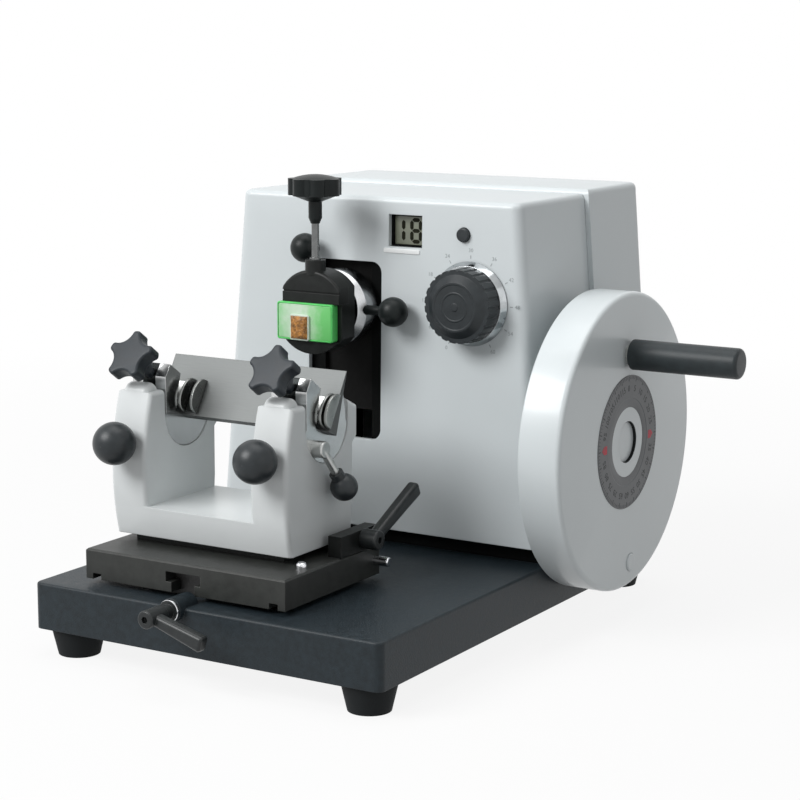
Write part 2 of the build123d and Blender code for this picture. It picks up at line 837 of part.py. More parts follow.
cam_y = shell_front + frame_setback - 6
with BuildPart() as dial_cam:
    with BuildSketch(facing_front(skirt_back)):
        with Locations((dial_x, dial_z)):
            Circle(dial_shaft_radius)
    extrude(amount=-(cam_y - skirt_back))
    with BuildSketch(facing_front(cam_y)):
        with Locations((dial_x, dial_z)):
            Circle(dial_cam_radius - 2)
        with Locations((dial_x + 2, dial_z + 1)):
            Circle(dial_cam_radius - 2)
    extrude(amount=-4)
dial_cam.part.label = "dial_cam"
export_step(dial_cam.part, "parts/dial_cam.step")

# Vertical slide: block on the guide rods, yoke for the crank pin, bracket for the feed screw
slide_low = head_z - slide_below
slide_back = slide_y + slide_depth
plate_y = slide_back + bracket_reach
yoke_left = axis_x + slide_width / 2 - yoke_lap
yoke_right = yoke_left + yoke_thickness
pin_z = wheel_z + crank_radius
pawl_x = axis_x + pawl_reach
pawl_z = head_z + pawl_rise
with BuildPart() as slide_block:
    with BuildSketch(Plane.XY.offset(slide_low)):
        with Locations((axis_x, slide_y)):
            Rectangle(slide_width, slide_depth, align=standing)
        with Locations(*rod_places):
            Circle(rod_radius + 2 * air_gap, mode=Mode.SUBTRACT)
    extrude(amount=slide_below + slide_above)
    for start in (slide_low, head_z + slide_above - bush_length):
        with BuildSketch(Plane.XY.offset(start)):
            with Locations(*rod_places):
                Circle(bush_outer + press_seat)
        extrude(amount=bush_length, mode=Mode.SUBTRACT)
    with BuildSketch(facing_front(slide_y)):
        with Locations((axis_x, head_z)):
            Circle(arm_radius + running_fit)
    extrude(amount=-slide_depth, mode=Mode.SUBTRACT)
    with BuildSketch(facing_right(yoke_left)):
        with Locations((slide_y, pin_z)):
            Rectangle(yoke_depth, yoke_height, align=(Align.MIN, Align.CENTER))
    extrude(amount=yoke_thickness)
    with BuildSketch(facing_right(yoke_left + yoke_lap)):
        with Locations((middle_y, pin_z)):
            SlotOverall(2 * (crank_radius + crank_pin_radius) + 4, 2 * (crank_pin_radius + air_gap))
    extrude(amount=yoke_thickness - yoke_lap, mode=Mode.SUBTRACT)
    with BuildSketch(facing_front(slide_back)):
        for side in (-1, 1):
            with Locations((axis_x + side * (bracket_half - bracket_arm / 2), head_z)):
                Rectangle(bracket_arm, 2 * bracket_low)
    extrude(amount=-bracket_reach)
    with BuildSketch(facing_front(plate_y)):
        with Locations((axis_x, head_z - bracket_low)):
            Rectangle(2 * bracket_half, bracket_low + bracket_high, align=standing)
        with Locations((axis_x, head_z)):
            Circle(journal_radius + running_fit, mode=Mode.SUBTRACT)
    extrude(amount=-bracket_plate)
    with BuildSketch(facing_front(plate_y + bracket_plate)):
        with Locations((pawl_x, pawl_z)):
            Circle(pawl_pin_radius)
    extrude(amount=-(ratchet_thickness + 2))
slide_block.part.label = "slide_block"
export_step(slide_block.part, "parts/slide_block.step")

with BuildPart() as slide_bushes:
    for start in (slide_low, head_z + slide_above - bush_length):
        with BuildSketch(Plane.XY.offset(start)):
            with Locations(*rod_places):
                Circle(bush_outer)
                Circle(rod_radius + running_fit, mode=Mode.SUBTRACT)
        extrude(amount=bush_length)
slide_bushes.part.label = "slide_bushes"
export_step(slide_bushes.part, "parts/slide_bushes.step")

# Specimen arm: a ground rod, threaded behind, with half of the ball socket in its end
flange_back = shell_front + flange_setback
arm_front = flange_back - arm_seat
ball_y = flange_back - ball_setback
socket_frame = Plane(origin=(axis_x, ball_y, head_z), x_dir=(0, 0, -1), z_dir=(0, 1, 0))
with BuildPart() as specimen_arm:
    with BuildSketch(facing_front(arm_front)):
        with Locations((axis_x, head_z)):
            Circle(arm_radius)
    extrude(amount=-arm_length)
    with BuildSketch(facing_front(arm_front + arm_length)):
        with Locations((axis_x, head_z)):
            Circle(arm_bore)
    extrude(amount=arm_length - arm_wall, mode=Mode.SUBTRACT)
    with Locations(socket_frame):
        Sphere(ball_radius + socket_gap, mode=Mode.SUBTRACT)
specimen_arm.part.label = "specimen_arm"
export_step(specimen_arm.part, "parts/specimen_arm.step")

# Chromed flange with the rest of the socket and two threaded holes for the lock screws
nose_y = flange_back - flange_depth
lock_angles = (0.0, left_ball_angle)
with BuildPart() as arm_flange:
    with BuildSketch(facing_front(nose_y + flange_bevel)):
        with Locations((axis_x, head_z)):
            Circle(flange_radius)
    extrude(amount=-(flange_depth - flange_bevel))
    with BuildSketch(facing_front(nose_y)):
        with Locations((axis_x, head_z)):
            Circle(flange_nose_radius)
    with BuildSketch(facing_front(nose_y + flange_bevel)):
        with Locations((axis_x, head_z)):
            Circle(flange_radius)
    loft()
    with BuildSketch(facing_front(flange_back)):
        with Locations((axis_x, head_z)):
            Circle(arm_radius + press_seat)
    extrude(amount=arm_seat, mode=Mode.SUBTRACT)
    with Locations(socket_frame):
        Sphere(ball_radius + socket_gap, mode=Mode.SUBTRACT)
    for angle in lock_angles:
        outward = (cos(radians(angle)), 0, sin(radians(angle)))
        with BuildSketch(Plane(origin=(axis_x, ball_y, head_z), z_dir=outward).offset(ball_radius - 2)):
            Circle(small_stud_radius + running_fit)
        extrude(amount=flange_radius - ball_radius + 3, mode=Mode.SUBTRACT)
arm_flange.part.label = "arm_flange"
export_step(arm_flange.part, "parts/arm_flange.step")

# Feed screw with its thrust collar, and the ratchet wheel on its end
collar_y = plate_y - feed_collar
ratchet_y = plate_y + bracket_plate + air_gap
with BuildPart() as feed_screw:
    with BuildSketch(facing_front(arm_front + arm_wall + 4)):
        with Locations((axis_x, head_z)):
            Circle(screw_radius)
    extrude(amount=-(collar_y - arm_front - arm_wall - 4))
    with BuildSketch(facing_front(collar_y)):
        with Locations((axis_x, head_z)):
            Circle(screw_radius + 3)
    extrude(amount=-feed_collar)
    with BuildSketch(facing_front(plate_y)):
        with Locations((axis_x, head_z)):
            Circle(journal_radius)
    extrude(amount=-(ratchet_y + ratchet_thickness + 4 - plate_y))
feed_screw.part.label = "feed_screw"
export_step(feed_screw.part, "parts/feed_screw.step")

teeth = []
for step in range(ratchet_teeth):
    turn = 2 * pi * step / ratchet_teeth
    teeth.append((ratchet_radius * cos(turn), ratchet_radius * sin(turn)))
    root = ratchet_radius - ratchet_tooth
    teeth.append((root * cos(turn), root * sin(turn)))
with BuildPart() as ratchet_wheel:
    with BuildSketch(facing_front(ratchet_y)):
        with Locations((axis_x, head_z)):
            Polygon(*teeth, align=None)
            Circle(journal_radius + press_seat, mode=Mode.SUBTRACT)
    extrude(amount=-ratchet_thickness)
ratchet_wheel.part.label = "ratchet_wheel"
export_step(ratchet_wheel.part, "parts/ratchet_wheel.step")

# Feed pawl on the bracket's pin, with its tip just clear of the ratchet's teeth
with BuildPart() as feed_pawl:
    with BuildSketch(facing_front(ratchet_y)):
        with Locations((axis_x, head_z)):
            Polygon(
                (0, ratchet_radius + pawl_gap),
                (pawl_reach - 0.7 * pawl_radius, pawl_rise + 0.7 * pawl_radius),
                (pawl_reach, pawl_rise),
                (pawl_reach, pawl_rise - pawl_radius),
                align=None,
            )
        with Locations((pawl_x, pawl_z)):
            Circle(pawl_radius)
            Circle(pawl_pin_radius + running_fit, mode=Mode.SUBTRACT)
    extrude(amount=-ratchet_thickness)
feed_pawl.part.label = "feed_pawl"
export_step(feed_pawl.part, "parts/feed_pawl.step")

# Ball with the neck and the upright pin that the head swings on
head_back = nose_y - head_gap
plate_front = head_back - head_plate
trunnion_y = head_back - head_plate / 2
jaw_front = plate_front - head_jaw_depth
with BuildPart() as tilt_ball:
    with Locations(socket_frame):
        Sphere(ball_radius)
    with BuildSketch(facing_front(trunnion_y)):
        with Locations((axis_x, head_z)):
            Circle(neck_radius - 0.5)
    extrude(amount=-(ball_y - trunnion_y))
    with Locations((axis_x, trunnion_y, head_z)):
        Sphere(neck_radius)
    with BuildSketch(Plane.XY.offset(head_z - trunnion_half)):
        with Locations((axis_x, trunnion_y)):
            Circle(trunnion_radius)
    extrude(amount=2 * trunnion_half)
tilt_ball.part.label = "tilt_ball"
export_step(tilt_ball.part, "parts/tilt_ball.step")

# Head: round plate, lower lip and the block behind the cassette
cassette_y = jaw_front - cassette_proud
cassette_x = axis_x - cassette_shift
cassette_z = head_z - cassette_drop
cassette_low = cassette_z - cassette_height / 2
cassette_high = cassette_z + cassette_height / 2
with BuildPart() as head_body:
    with BuildSketch(facing_front(plate_front)):
        with Locations((axis_x, head_z)):
            Circle(head_radius)
            Rectangle(2 * head_half, 2 * head_radius, mode=Mode.INTERSECT)
    extrude(amount=-head_plate)
    with BuildSketch(facing_front(cassette_y + cassette_depth)):
        with Locations((axis_x, head_z)):
            Circle(head_radius)
        with Locations((axis_x, cassette_z)):
            Rectangle(2 * head_half, cassette_height, mode=Mode.INTERSECT)
    extrude(amount=-(plate_front - cassette_y - cassette_depth))
    with BuildSketch(facing_front(jaw_front)):
        with Locations((axis_x, head_z)):
            Circle(head_radius)
        with Locations((axis_x, cassette_low)):
            Rectangle(2 * head_half, head_radius, align=(Align.CENTER, Align.MAX), mode=Mode.INTERSECT)
    extrude(amount=-head_jaw_depth)
    with BuildSketch(facing_front(head_back)):
        with Locations((axis_x, head_z)):
            Circle(neck_radius + 4 * air_gap)
    extrude(amount=head_pocket, mode=Mode.SUBTRACT)
    with BuildSketch(Plane.XY.offset(head_z - trunnion_half - air_gap)):
        with Locations((axis_x, trunnion_y)):
            Circle(trunnion_radius + running_fit)
    extrude(amount=2 * (trunnion_half + air_gap), mode=Mode.SUBTRACT)
head_body.part.label = "head_body"
export_step(head_body.part, "parts/head_body.step")

# Clamp jaw above the cassette, with a shallow groove and a collar for the spindle
spindle_y = (jaw_front + plate_front) / 2
jaw_top = head_z + head_radius
with BuildPart() as clamp_jaw:
    with BuildSketch(facing_front(jaw_front)):
        with Locations((axis_x, head_z)):
            Circle(head_radius)
        with Locations((axis_x, cassette_high)):
            Rectangle(2 * head_half, head_radius, align=standing, mode=Mode.INTERSECT)
    extrude(amount=-head_jaw_depth)
    crown = clamp_jaw.edges().filter_by(GeomType.CIRCLE).sort_by(Axis.Y)[0]
    fillet(crown, head_round)
    with BuildSketch(Plane.XY.offset(jaw_top - collar_seat)):
        with Locations((axis_x, spindle_y)):
            Circle(collar_radius)
    extrude(amount=collar_seat + collar_height)
    with BuildSketch(facing_front(plate_front)):
        with Locations((axis_x, head_z)):
            Circle(head_radius + air_gap)
    extrude(amount=-head_plate, mode=Mode.SUBTRACT)
    with BuildSketch(Plane.XY.offset(jaw_top - spindle_depth)):
        with Locations((axis_x, spindle_y)):
            Circle(spindle_radius + running_fit)
    extrude(amount=spindle_depth + collar_height, mode=Mode.SUBTRACT)
    with BuildSketch(facing_front(jaw_front)):
        with Locations((axis_x, cassette_high + jaw_lip)):
            Rectangle(2 * head_radius, jaw_groove)
    extrude(amount=-jaw_groove, mode=Mode.SUBTRACT)
clamp_jaw.part.label = "clamp_jaw"
export_step(clamp_jaw.part, "parts/clamp_jaw.step")

# Clamp spindle: a bare rod with a lobed knob on top
collar_top = jaw_top + collar_height
sleeve_low = collar_top + spindle_clear
knob_low = sleeve_low + spindle_sleeve
with BuildPart() as clamp_spindle:
    with BuildSketch(Plane.XY.offset(jaw_top - spindle_depth + air_gap)):
        with Locations((axis_x, spindle_y)):
            Circle(spindle_radius)
    extrude(amount=sleeve_low + knob_seat - jaw_top + spindle_depth - air_gap)
    with BuildSketch(Plane.XY.offset(collar_top)):
        with Locations((axis_x, spindle_y)):
            Circle(spindle_radius + 1.2)
    extrude(amount=1.5)
clamp_spindle.part.label = "clamp_spindle"
export_step(clamp_spindle.part, "parts/clamp_spindle.step")

with BuildPart() as spindle_knob:
    with BuildSketch(Plane.XY.offset(knob_low + spindle_knob_cone)):
        with Locations((axis_x, spindle_y)):
            Circle(spindle_knob_radius - lobe_radius / 2)
            with PolarLocations(spindle_knob_radius - lobe_radius, spindle_lobes):
                Circle(lobe_radius)
    extrude(amount=spindle_knob_rim)
    with BuildSketch(facing_front(spindle_y)):
        with BuildLine():
            dome_low = knob_low + spindle_knob_cone + spindle_knob_rim
            dome_half = spindle_knob_radius - lobe_radius / 2
            ThreePointArc(
                (axis_x, dome_low + spindle_knob_dome),
                (axis_x + dome_half / 2, dome_low + spindle_knob_dome * 0.76),
                (axis_x + dome_half, dome_low),
            )
            Polyline(
                (axis_x + dome_half, dome_low),
                (axis_x + dome_half, knob_low + spindle_knob_cone),
                (axis_x + spindle_sleeve_radius, knob_low),
                (axis_x + spindle_sleeve_radius, sleeve_low + spindle_taper),
                (axis_x + spindle_radius + 0.5, sleeve_low),
                (axis_x, sleeve_low),
                (axis_x, dome_low + spindle_knob_dome),
            )
        make_face()
    revolve(axis=Axis((axis_x, spindle_y, 0), (0, 0, 1)))
    with BuildSketch(Plane.XY.offset(sleeve_low)):
        with Locations((axis_x, spindle_y)):
            Circle(spindle_radius + press_seat)
    extrude(amount=knob_seat, mode=Mode.SUBTRACT)
spindle_knob.part.label = "spindle_knob"
export_step(spindle_knob.part, "parts/spindle_knob.step")

# Cassette: an open tray turned face to the plate, and the tissue block on its front
with BuildPart() as cassette:
    with BuildSketch(facing_front(cassette_y)):
        with Locations((cassette_x, cassette_z)):
            RectangleRounded(cassette_width, cassette_height, cassette_wall)
    extrude(amount=-cassette_depth)
    with BuildSketch(facing_front(cassette_y + cassette_depth)):
        with Locations((cassette_x, cassette_z)):
            Rectangle(cassette_width - 2 * cassette_wall, cassette_height - 2 * cassette_wall)
    extrude(amount=cassette_depth - cassette_wall, mode=Mode.SUBTRACT)
cassette.part.label = "cassette"
export_step(cassette.part, "parts/cassette.step")

with BuildPart() as tissue_block:
    with BuildSketch(facing_front(cassette_y)):
        with Locations((cassette_x - block_shift, cassette_z - block_drop)):
            Rectangle(block_width, block_height)
    extrude(amount=block_depth)
    chamfer(tissue_block.faces().sort_by(Axis.Y)[0].edges(), 0.6)
tissue_block.part.label = "tissue_block"
export_step(tissue_block.part, "parts/tissue_block.step")

# Two ball knobs on screws that lock the ball
right_way = (cos(radians(lock_angles[0])), 0, sin(radians(lock_angles[0])))
with BuildPart() as right_lock_knob:
    with BuildSketch(Plane((axis_x, ball_y, head_z), z_dir=right_way).offset(ball_radius + socket_gap)):
        Circle(small_stud_radius)
    extrude(amount=small_ball_reach - ball_radius - socket_gap)
    with Locations(Plane(origin=(axis_x, ball_y, head_z), z_dir=right_way).offset(small_ball_reach)):
        Sphere(small_ball_radius)
right_lock_knob.part.label = "right_lock_knob"
export_step(right_lock_knob.part, "parts/right_lock_knob.step")

left_way = (cos(radians(lock_angles[1])), 0, sin(radians(lock_angles[1])))
with BuildPart() as left_lock_knob:
    with BuildSketch(Plane(origin=(axis_x, ball_y, head_z), z_dir=left_way).offset(ball_radius + socket_gap)):
        Circle(small_stud_radius)
    extrude(amount=small_ball_reach - ball_radius - socket_gap)
    with Locations(Plane(origin=(axis_x, ball_y, head_z), z_dir=left_way).offset(small_ball_reach)):
        Sphere(small_ball_radius)
left_lock_knob.part.label = "left_lock_knob"
export_step(left_lock_knob.part, "parts/left_lock_knob.step")

# Main shaft with its crank disc and pin; the pin stops just short of the yoke
shaft_end = wheel_in + shaft_seat
disc_left = yoke_right + pin_gap + crank_pin_length
with BuildPart() as main_shaft:
    with BuildSketch(facing_right(disc_left)):
        with Locations((middle_y, wheel_z)):
            Circle(crank_disc_radius)
    extrude(amount=crank_disc_thickness)
    with BuildSketch(facing_right(disc_left)):
        with Locations((middle_y, pin_z)):
            Circle(crank_pin_radius)
    extrude(amount=-crank_pin_length)
    with BuildSketch(facing_right(disc_left + crank_disc_thickness)):
        with Locations((middle_y, wheel_z)):
            Circle(shaft_radius)
    extrude(amount=shaft_end - disc_left - crank_disc_thickness)
main_shaft.part.label = "main_shaft"
export_step(main_shaft.part, "parts/main_shaft.step")

# Handwheel: heavy rim, web at the outer face, ribs, hub, and bosses for handle and lock pin
handle_z = wheel_z + handle_offset
web_in = wheel_out - wheel_web
with BuildPart() as handwheel:
    with BuildSketch(facing_right(wheel_in)):
        with Locations((middle_y, wheel_z)):
            Circle(wheel_radius)
    extrude(amount=wheel_thickness)
    fillet(handwheel.faces().sort_by(Axis.X)[-1].edges(), wheel_edge)
    fillet(handwheel.faces().sort_by(Axis.X)[0].edges(), wheel_edge / 2)
    with BuildSketch(facing_right(wheel_in)):
        with Locations((middle_y, wheel_z)):
            Circle(wheel_radius - wheel_rim)
            Circle(wheel_hub_radius, mode=Mode.SUBTRACT)
            with PolarLocations(0, wheel_ribs, 45):
                Rectangle(wheel_radius, wheel_rib, align=(Align.MIN, Align.CENTER), mode=Mode.SUBTRACT)
        with Locations((middle_y, handle_z)):
            Circle(handle_boss_radius, mode=Mode.SUBTRACT)
        with Locations((lock_y, lock_z)):
            Circle(lock_boss_radius, mode=Mode.SUBTRACT)
    extrude(amount=web_in - wheel_in, mode=Mode.SUBTRACT)
    with BuildSketch(facing_right(wheel_out - ring_seat)):
        with Locations((middle_y, wheel_z)):
            Circle(ring_outer + press_seat)
            Circle(ring_inner - press_seat, mode=Mode.SUBTRACT)
    extrude(amount=ring_seat, mode=Mode.SUBTRACT)
    with BuildSketch(facing_right(wheel_in)):
        with Locations((middle_y, wheel_z)):
            Circle(shaft_radius + press_seat)
    extrude(amount=shaft_seat, mode=Mode.SUBTRACT)
    with BuildSketch(facing_right(wheel_out)):
        with Locations((middle_y, wheel_z)):
            Circle(cap_radius + press_seat)
    extrude(amount=-(cap_recess + cap_thickness), mode=Mode.SUBTRACT)
    with BuildSketch(facing_right(wheel_out)):
        with Locations((middle_y, handle_z)):
            Circle(handle_stud_radius + press_seat)
    extrude(amount=-stud_seat, mode=Mode.SUBTRACT)
    with BuildSketch(facing_right(wheel_in)):
        with Locations((lock_y, lock_z)):
            Circle(lock_shank_radius + running_fit)
    extrude(amount=wheel_thickness, mode=Mode.SUBTRACT)
    with BuildSketch(facing_right(wheel_out)):
        with Locations((lock_y, lock_z)):
            Circle(lock_head_radius + air_gap)
    extrude(amount=-(lock_head - lock_proud + lock_travel + air_gap), mode=Mode.SUBTRACT)
handwheel.part.label = "handwheel"
export_step(handwheel.part, "parts/handwheel.step")

with BuildPart() as hub_cap:
    with BuildSketch(facing_right(wheel_out - cap_recess)):
        with Locations((middle_y, wheel_z)):
            Circle(cap_radius)
    extrude(amount=-cap_thickness)
hub_cap.part.label = "hub_cap"
export_step(hub_cap.part, "parts/hub_cap.step")

with BuildPart() as dial_ring:
    with BuildSketch(facing_right(wheel_out - ring_seat)):
        with Locations((middle_y, wheel_z)):
            Circle(ring_outer)
            Circle(ring_inner, mode=Mode.SUBTRACT)
    extrude(amount=ring_thickness)
dial_ring.part.label = "dial_ring"
export_step(dial_ring.part, "parts/dial_ring.step")

# Handle: a steel stud in the wheel and a grip that turns on it
with BuildPart() as handle_stud:
    with BuildSketch(facing_right(wheel_out - stud_seat)):
        with Locations((middle_y, handle_z)):
            Circle(handle_stud_radius)
    extrude(amount=stud_seat + handle_length - grip_wall - air_gap)
    with BuildSketch(facing_right(wheel_out)):
        with Locations((middle_y, handle_z)):
            Circle(handle_stud_radius + 2)
    extrude(amount=stud_collar)
handle_stud.part.label = "handle_stud"
export_step(handle_stud.part, "parts/handle_stud.step")

with BuildPart() as handle_grip:
    with BuildSketch(facing_right(wheel_out + stud_collar)):
        with Locations((middle_y, handle_z)):
            Circle(handle_radius)
    extrude(amount=handle_length - stud_collar)
    fillet(handle_grip.faces().sort_by(Axis.X)[-1].edges(), 2.5)
    fillet(handle_grip.faces().sort_by(Axis.X)[0].edges(), 1.0)
    with BuildSketch(facing_right(wheel_out + stud_collar)):
        with Locations((middle_y, handle_z)):
            Circle(handle_stud_radius + running_fit)
    extrude(amount=handle_length - stud_collar - grip_wall, mode=Mode.SUBTRACT)
handle_grip.part.label = "handle_grip"
export_step(handle_grip.part, "parts/handle_grip.step")

# Lock pin: pressed in, it enters the hole in the base plate's side
with BuildPart() as lock_pin:
    with BuildSketch(facing_right(wheel_in - air_gap)):
        with Locations((lock_y, lock_z)):
            Circle(lock_shank_radius)
    extrude(amount=wheel_thickness + lock_proud - lock_head + air_gap)
    with BuildSketch(facing_right(wheel_out + lock_proud - lock_head)):
        with Locations((lock_y, lock_z)):
            Circle(lock_head_radius)
    extrude(amount=lock_head)
    chamfer(lock_pin.faces().sort_by(Axis.X)[-1].edges(), 0.6)
lock_pin.part.label = "lock_pin"
export_step(lock_pin.part, "parts/lock_pin.step")

# Coarse feed: a scalloped wheel on the left, on a shaft through the casing
with BuildPart() as coarse_wheel:
    with BuildSketch(facing_right(left - coarse_reach)):
        with Locations((coarse_y, coarse_z)):
            Circle(coarse_radius)
            with PolarLocations(coarse_radius + 3, coarse_lobes):
                Circle(6, mode=Mode.SUBTRACT)
    extrude(amount=coarse_thickness)
    with BuildSketch(facing_right(left - coarse_reach)):
        with Locations((coarse_y, coarse_z)):
            Circle(coarse_radius - 7)
            Circle(coarse_hub_radius, mode=Mode.SUBTRACT)
    extrude(amount=4, mode=Mode.SUBTRACT)
    with BuildSketch(facing_right(left - coarse_reach + 4)):
        with Locations((coarse_y, coarse_z)):
            Circle(coarse_shaft_radius + press_seat)
    extrude(amount=coarse_thickness - 4, mode=Mode.SUBTRACT)
coarse_wheel.part.label = "coarse_wheel"
export_step(coarse_wheel.part, "parts/coarse_wheel.step")

coarse_start = left - coarse_reach + 4
with BuildPart() as coarse_shaft:
    with BuildSketch(facing_right(coarse_start)):
        with Locations((coarse_y, coarse_z)):
            Circle(coarse_shaft_radius)
    extrude(amount=base_x - frame_half + frame_wall / 2 + 4 - coarse_start)
coarse_shaft.part.label = "coarse_shaft"
export_step(coarse_shaft.part, "parts/coarse_shaft.step")


def on_machine(points):
    """Turn (set back from the base plate's front, height above its top) into a side outline."""
    return [(front + setback, top + rise) for setback, rise in points]


def knife_point(along, ahead):
    """A side-view place on the knife: distance down from its edge, and distance ahead of its middle."""
    lean = radians(knife_lean)
    setback = knife_setback - along * sin(lean) - ahead * cos(lean)
    rise = knife_rise - along * cos(lean) + ahead * sin(lean)
    return (setback, rise)


def half_blade(along):
    return (knife_edge + (knife_back - knife_edge) * along / knife_height) / 2


# Knife holder: one casting with two towers, each with an open cradle for its rocker
tower_rise = holder_low - top + tower_height
brow = holder_setback + brow_setback
tower_places = (holder_x - tower_shift, holder_x + tower_shift)
holder_front = on_machine([
    (holder_setback, holder_low - top),
    (holder_setback - belly_bulge, belly_rise),
    (brow, tower_rise),
])
holder_back = on_machine([
    (brow, tower_rise),
    (ear_start, tower_rise),
    (ear_back, tower_rise - ear_drop),
    (ear_back, ear_low),
    (step_back, step_low),
    (step_back, step_foot),
    (foot_back, holder_low - top),
    (holder_setback, holder_low - top),
])
with BuildPart() as tower_cap:
    with BuildSketch(facing_right(-cap_width / 2)):
        Circle(cap_round)
    extrude(amount=cap_width)
    fillet(tower_cap.edges().filter_by(GeomType.CIRCLE), cap_end)
with BuildPart() as holder_casting:
    with BuildSketch(facing_right(holder_x - holder_width / 2)):
        with BuildLine():
            ThreePointArc(*holder_front)
            Polyline(*holder_back)
        make_face()
    extrude(amount=holder_width)
    with BuildSketch(facing_right(holder_x - holder_width / 2 + tower_width)):
        with Locations((front + holder_setback - 2 * belly_bulge, holder_low + holder_floor)):
            Rectangle(ear_back, 2 * tower_height, align=(Align.MIN, Align.MIN))
    extrude(amount=holder_width - 2 * tower_width, mode=Mode.SUBTRACT)
    above = holder_casting.edges().filter_by(lambda e: e.center().Z > holder_low + holder_floor + 1)
    rims = above.filter_by(lambda e: abs(e.tangent_at(0.5).X) < 0.5)
    fillet(rims, holder_round)
    for middle in tower_places:
        with Locations((middle, front + brow + cap_round, top + tower_rise + cap_proud - cap_round)):
            add(tower_cap.part)
    with BuildSketch(facing_right(holder_x - holder_width / 2)):
        with Locations((cradle_y, cradle_z)):
            Circle(cradle_radius)
            Rectangle(2 * cradle_radius, 2 * cradle_radius, align=standing)
    extrude(amount=holder_width, mode=Mode.SUBTRACT)
    with BuildSketch(facing_front(front + tower_ball_setback)):
        for middle in tower_places:
            with Locations((middle, top + tower_ball_rise)):
                Circle(tower_stud_radius + running_fit)
    extrude(amount=-(tower_stud_reach + 2 * air_gap), mode=Mode.SUBTRACT)
holder_casting.part.label = "holder_casting"
export_step(holder_casting.part, "parts/holder_casting.step")

# Ball knobs on the towers' front, which clamp the rockers
tower_ball_y = front + tower_ball_setback
tower_ball_z = top + tower_ball_rise
with BuildPart() as left_tower_knob:
    with BuildSketch(facing_front(front + tower_ball_setback)):
        with Locations((tower_places[0], top + tower_ball_rise)):
            Circle(tower_stud_radius)
    extrude(amount=-tower_stud_reach)
    with Locations(Plane(origin=(tower_places[0], tower_ball_y, tower_ball_z), z_dir=(0, 1, 0))):
        Sphere(tower_ball_radius)
left_tower_knob.part.label = "left_tower_knob"
export_step(left_tower_knob.part, "parts/left_tower_knob.step")

with BuildPart() as right_tower_knob:
    with BuildSketch(facing_front(front + tower_ball_setback)):
        with Locations((tower_places[1], top + tower_ball_rise)):
            Circle(tower_stud_radius)
    extrude(amount=-tower_stud_reach)
    with Locations(Plane(origin=(tower_places[1], tower_ball_y, tower_ball_z), z_dir=(0, 1, 0))):
        Sphere(tower_ball_radius)
right_tower_knob.part.label = "right_tower_knob"
export_step(right_tower_knob.part, "parts/right_tower_knob.step")

# Knife: a long wedge with its edge up and leaning back
knife_x = holder_x + knife_shift
knife_side = on_machine([
    knife_point(0, half_blade(0)),
    knife_point(knife_height, half_blade(knife_height)),
    knife_point(knife_height, -half_blade(knife_height)),
    knife_point(0, -half_blade(0)),
])
with BuildPart() as knife_blade:
    with BuildSketch(facing_right(knife_x - knife_length / 2)):
        Polygon(*knife_side, align=None)
    extrude(amount=knife_length)
knife_blade.part.label = "knife_blade"
export_step(knife_blade.part, "parts/knife_blade.step")

# Rockers: half-round pieces that carry the knife and tilt in the towers' cradles
star_down = (0.0, cos(radians(star_slope)), -sin(radians(star_slope)))
star_y = front + star_setback
star_z = top + star_rise
star_planes = [Plane(origin=(place, star_y, star_z), z_dir=star_down) for place in tower_places]
angle_y = front + angle_pivot_setback
angle_z = top + angle_pivot_rise
front_bracket = on_machine([
    (bracket_face, cradle_rise + rocker_flat),
    (bracket_face, cradle_rise + shoulder_rise),
    (bracket_face + crest_back, cradle_rise + crest_rise),
    (bracket_face + slope_back, cradle_rise + shoulder_rise),
    (bracket_face + heel_back, cradle_rise + rocker_flat),
])
rear_jaw = on_machine([
    knife_point(jaw_start, -half_blade(jaw_start)),
    (cradle_setback + jaw_back, cradle_rise + jaw_rise),
    (cradle_setback + jaw_back + 3, cradle_rise + jaw_foot),
    knife_point(knife_height, -half_blade(knife_height)),
])
knife_channel = on_machine([
    knife_point(knife_height, -half_blade(knife_height)),
    knife_point(-2 * knife_back, -half_blade(0)),
    knife_point(-2 * knife_back, channel_depth),
    knife_point(knife_height, channel_depth),
])
with BuildPart() as left_rocker:
    with BuildSketch(facing_right(tower_places[0] - rocker_width / 2)):
        with Locations((cradle_y, cradle_z)):
            Circle(rocker_radius)
            Rectangle(2 * rocker_radius, 2 * rocker_radius, align=standing, mode=Mode.SUBTRACT)
            Rectangle(2 * (cradle_setback - bracket_face), rocker_flat, align=standing)
        Polygon(*front_bracket, align=None)
        Polygon(*rear_jaw, align=None)
        Polygon(*knife_channel, align=None, mode=Mode.SUBTRACT)
    extrude(amount=rocker_width)
    with BuildSketch(facing_right(tower_places[0] - fin_gap / 2)):
        with Locations((front + bracket_face + fin_wall, cradle_z + fin_floor)):
            Rectangle(slope_back, crest_rise, align=(Align.MIN, Align.MIN))
    extrude(amount=fin_gap, mode=Mode.SUBTRACT)
    with BuildSketch(star_planes[0]):
        Circle(star_screw_radius + running_fit)
    extrude(amount=star_screw_reach, mode=Mode.SUBTRACT)
left_rocker.part.label = "left_rocker"
export_step(left_rocker.part, "parts/left_rocker.step")

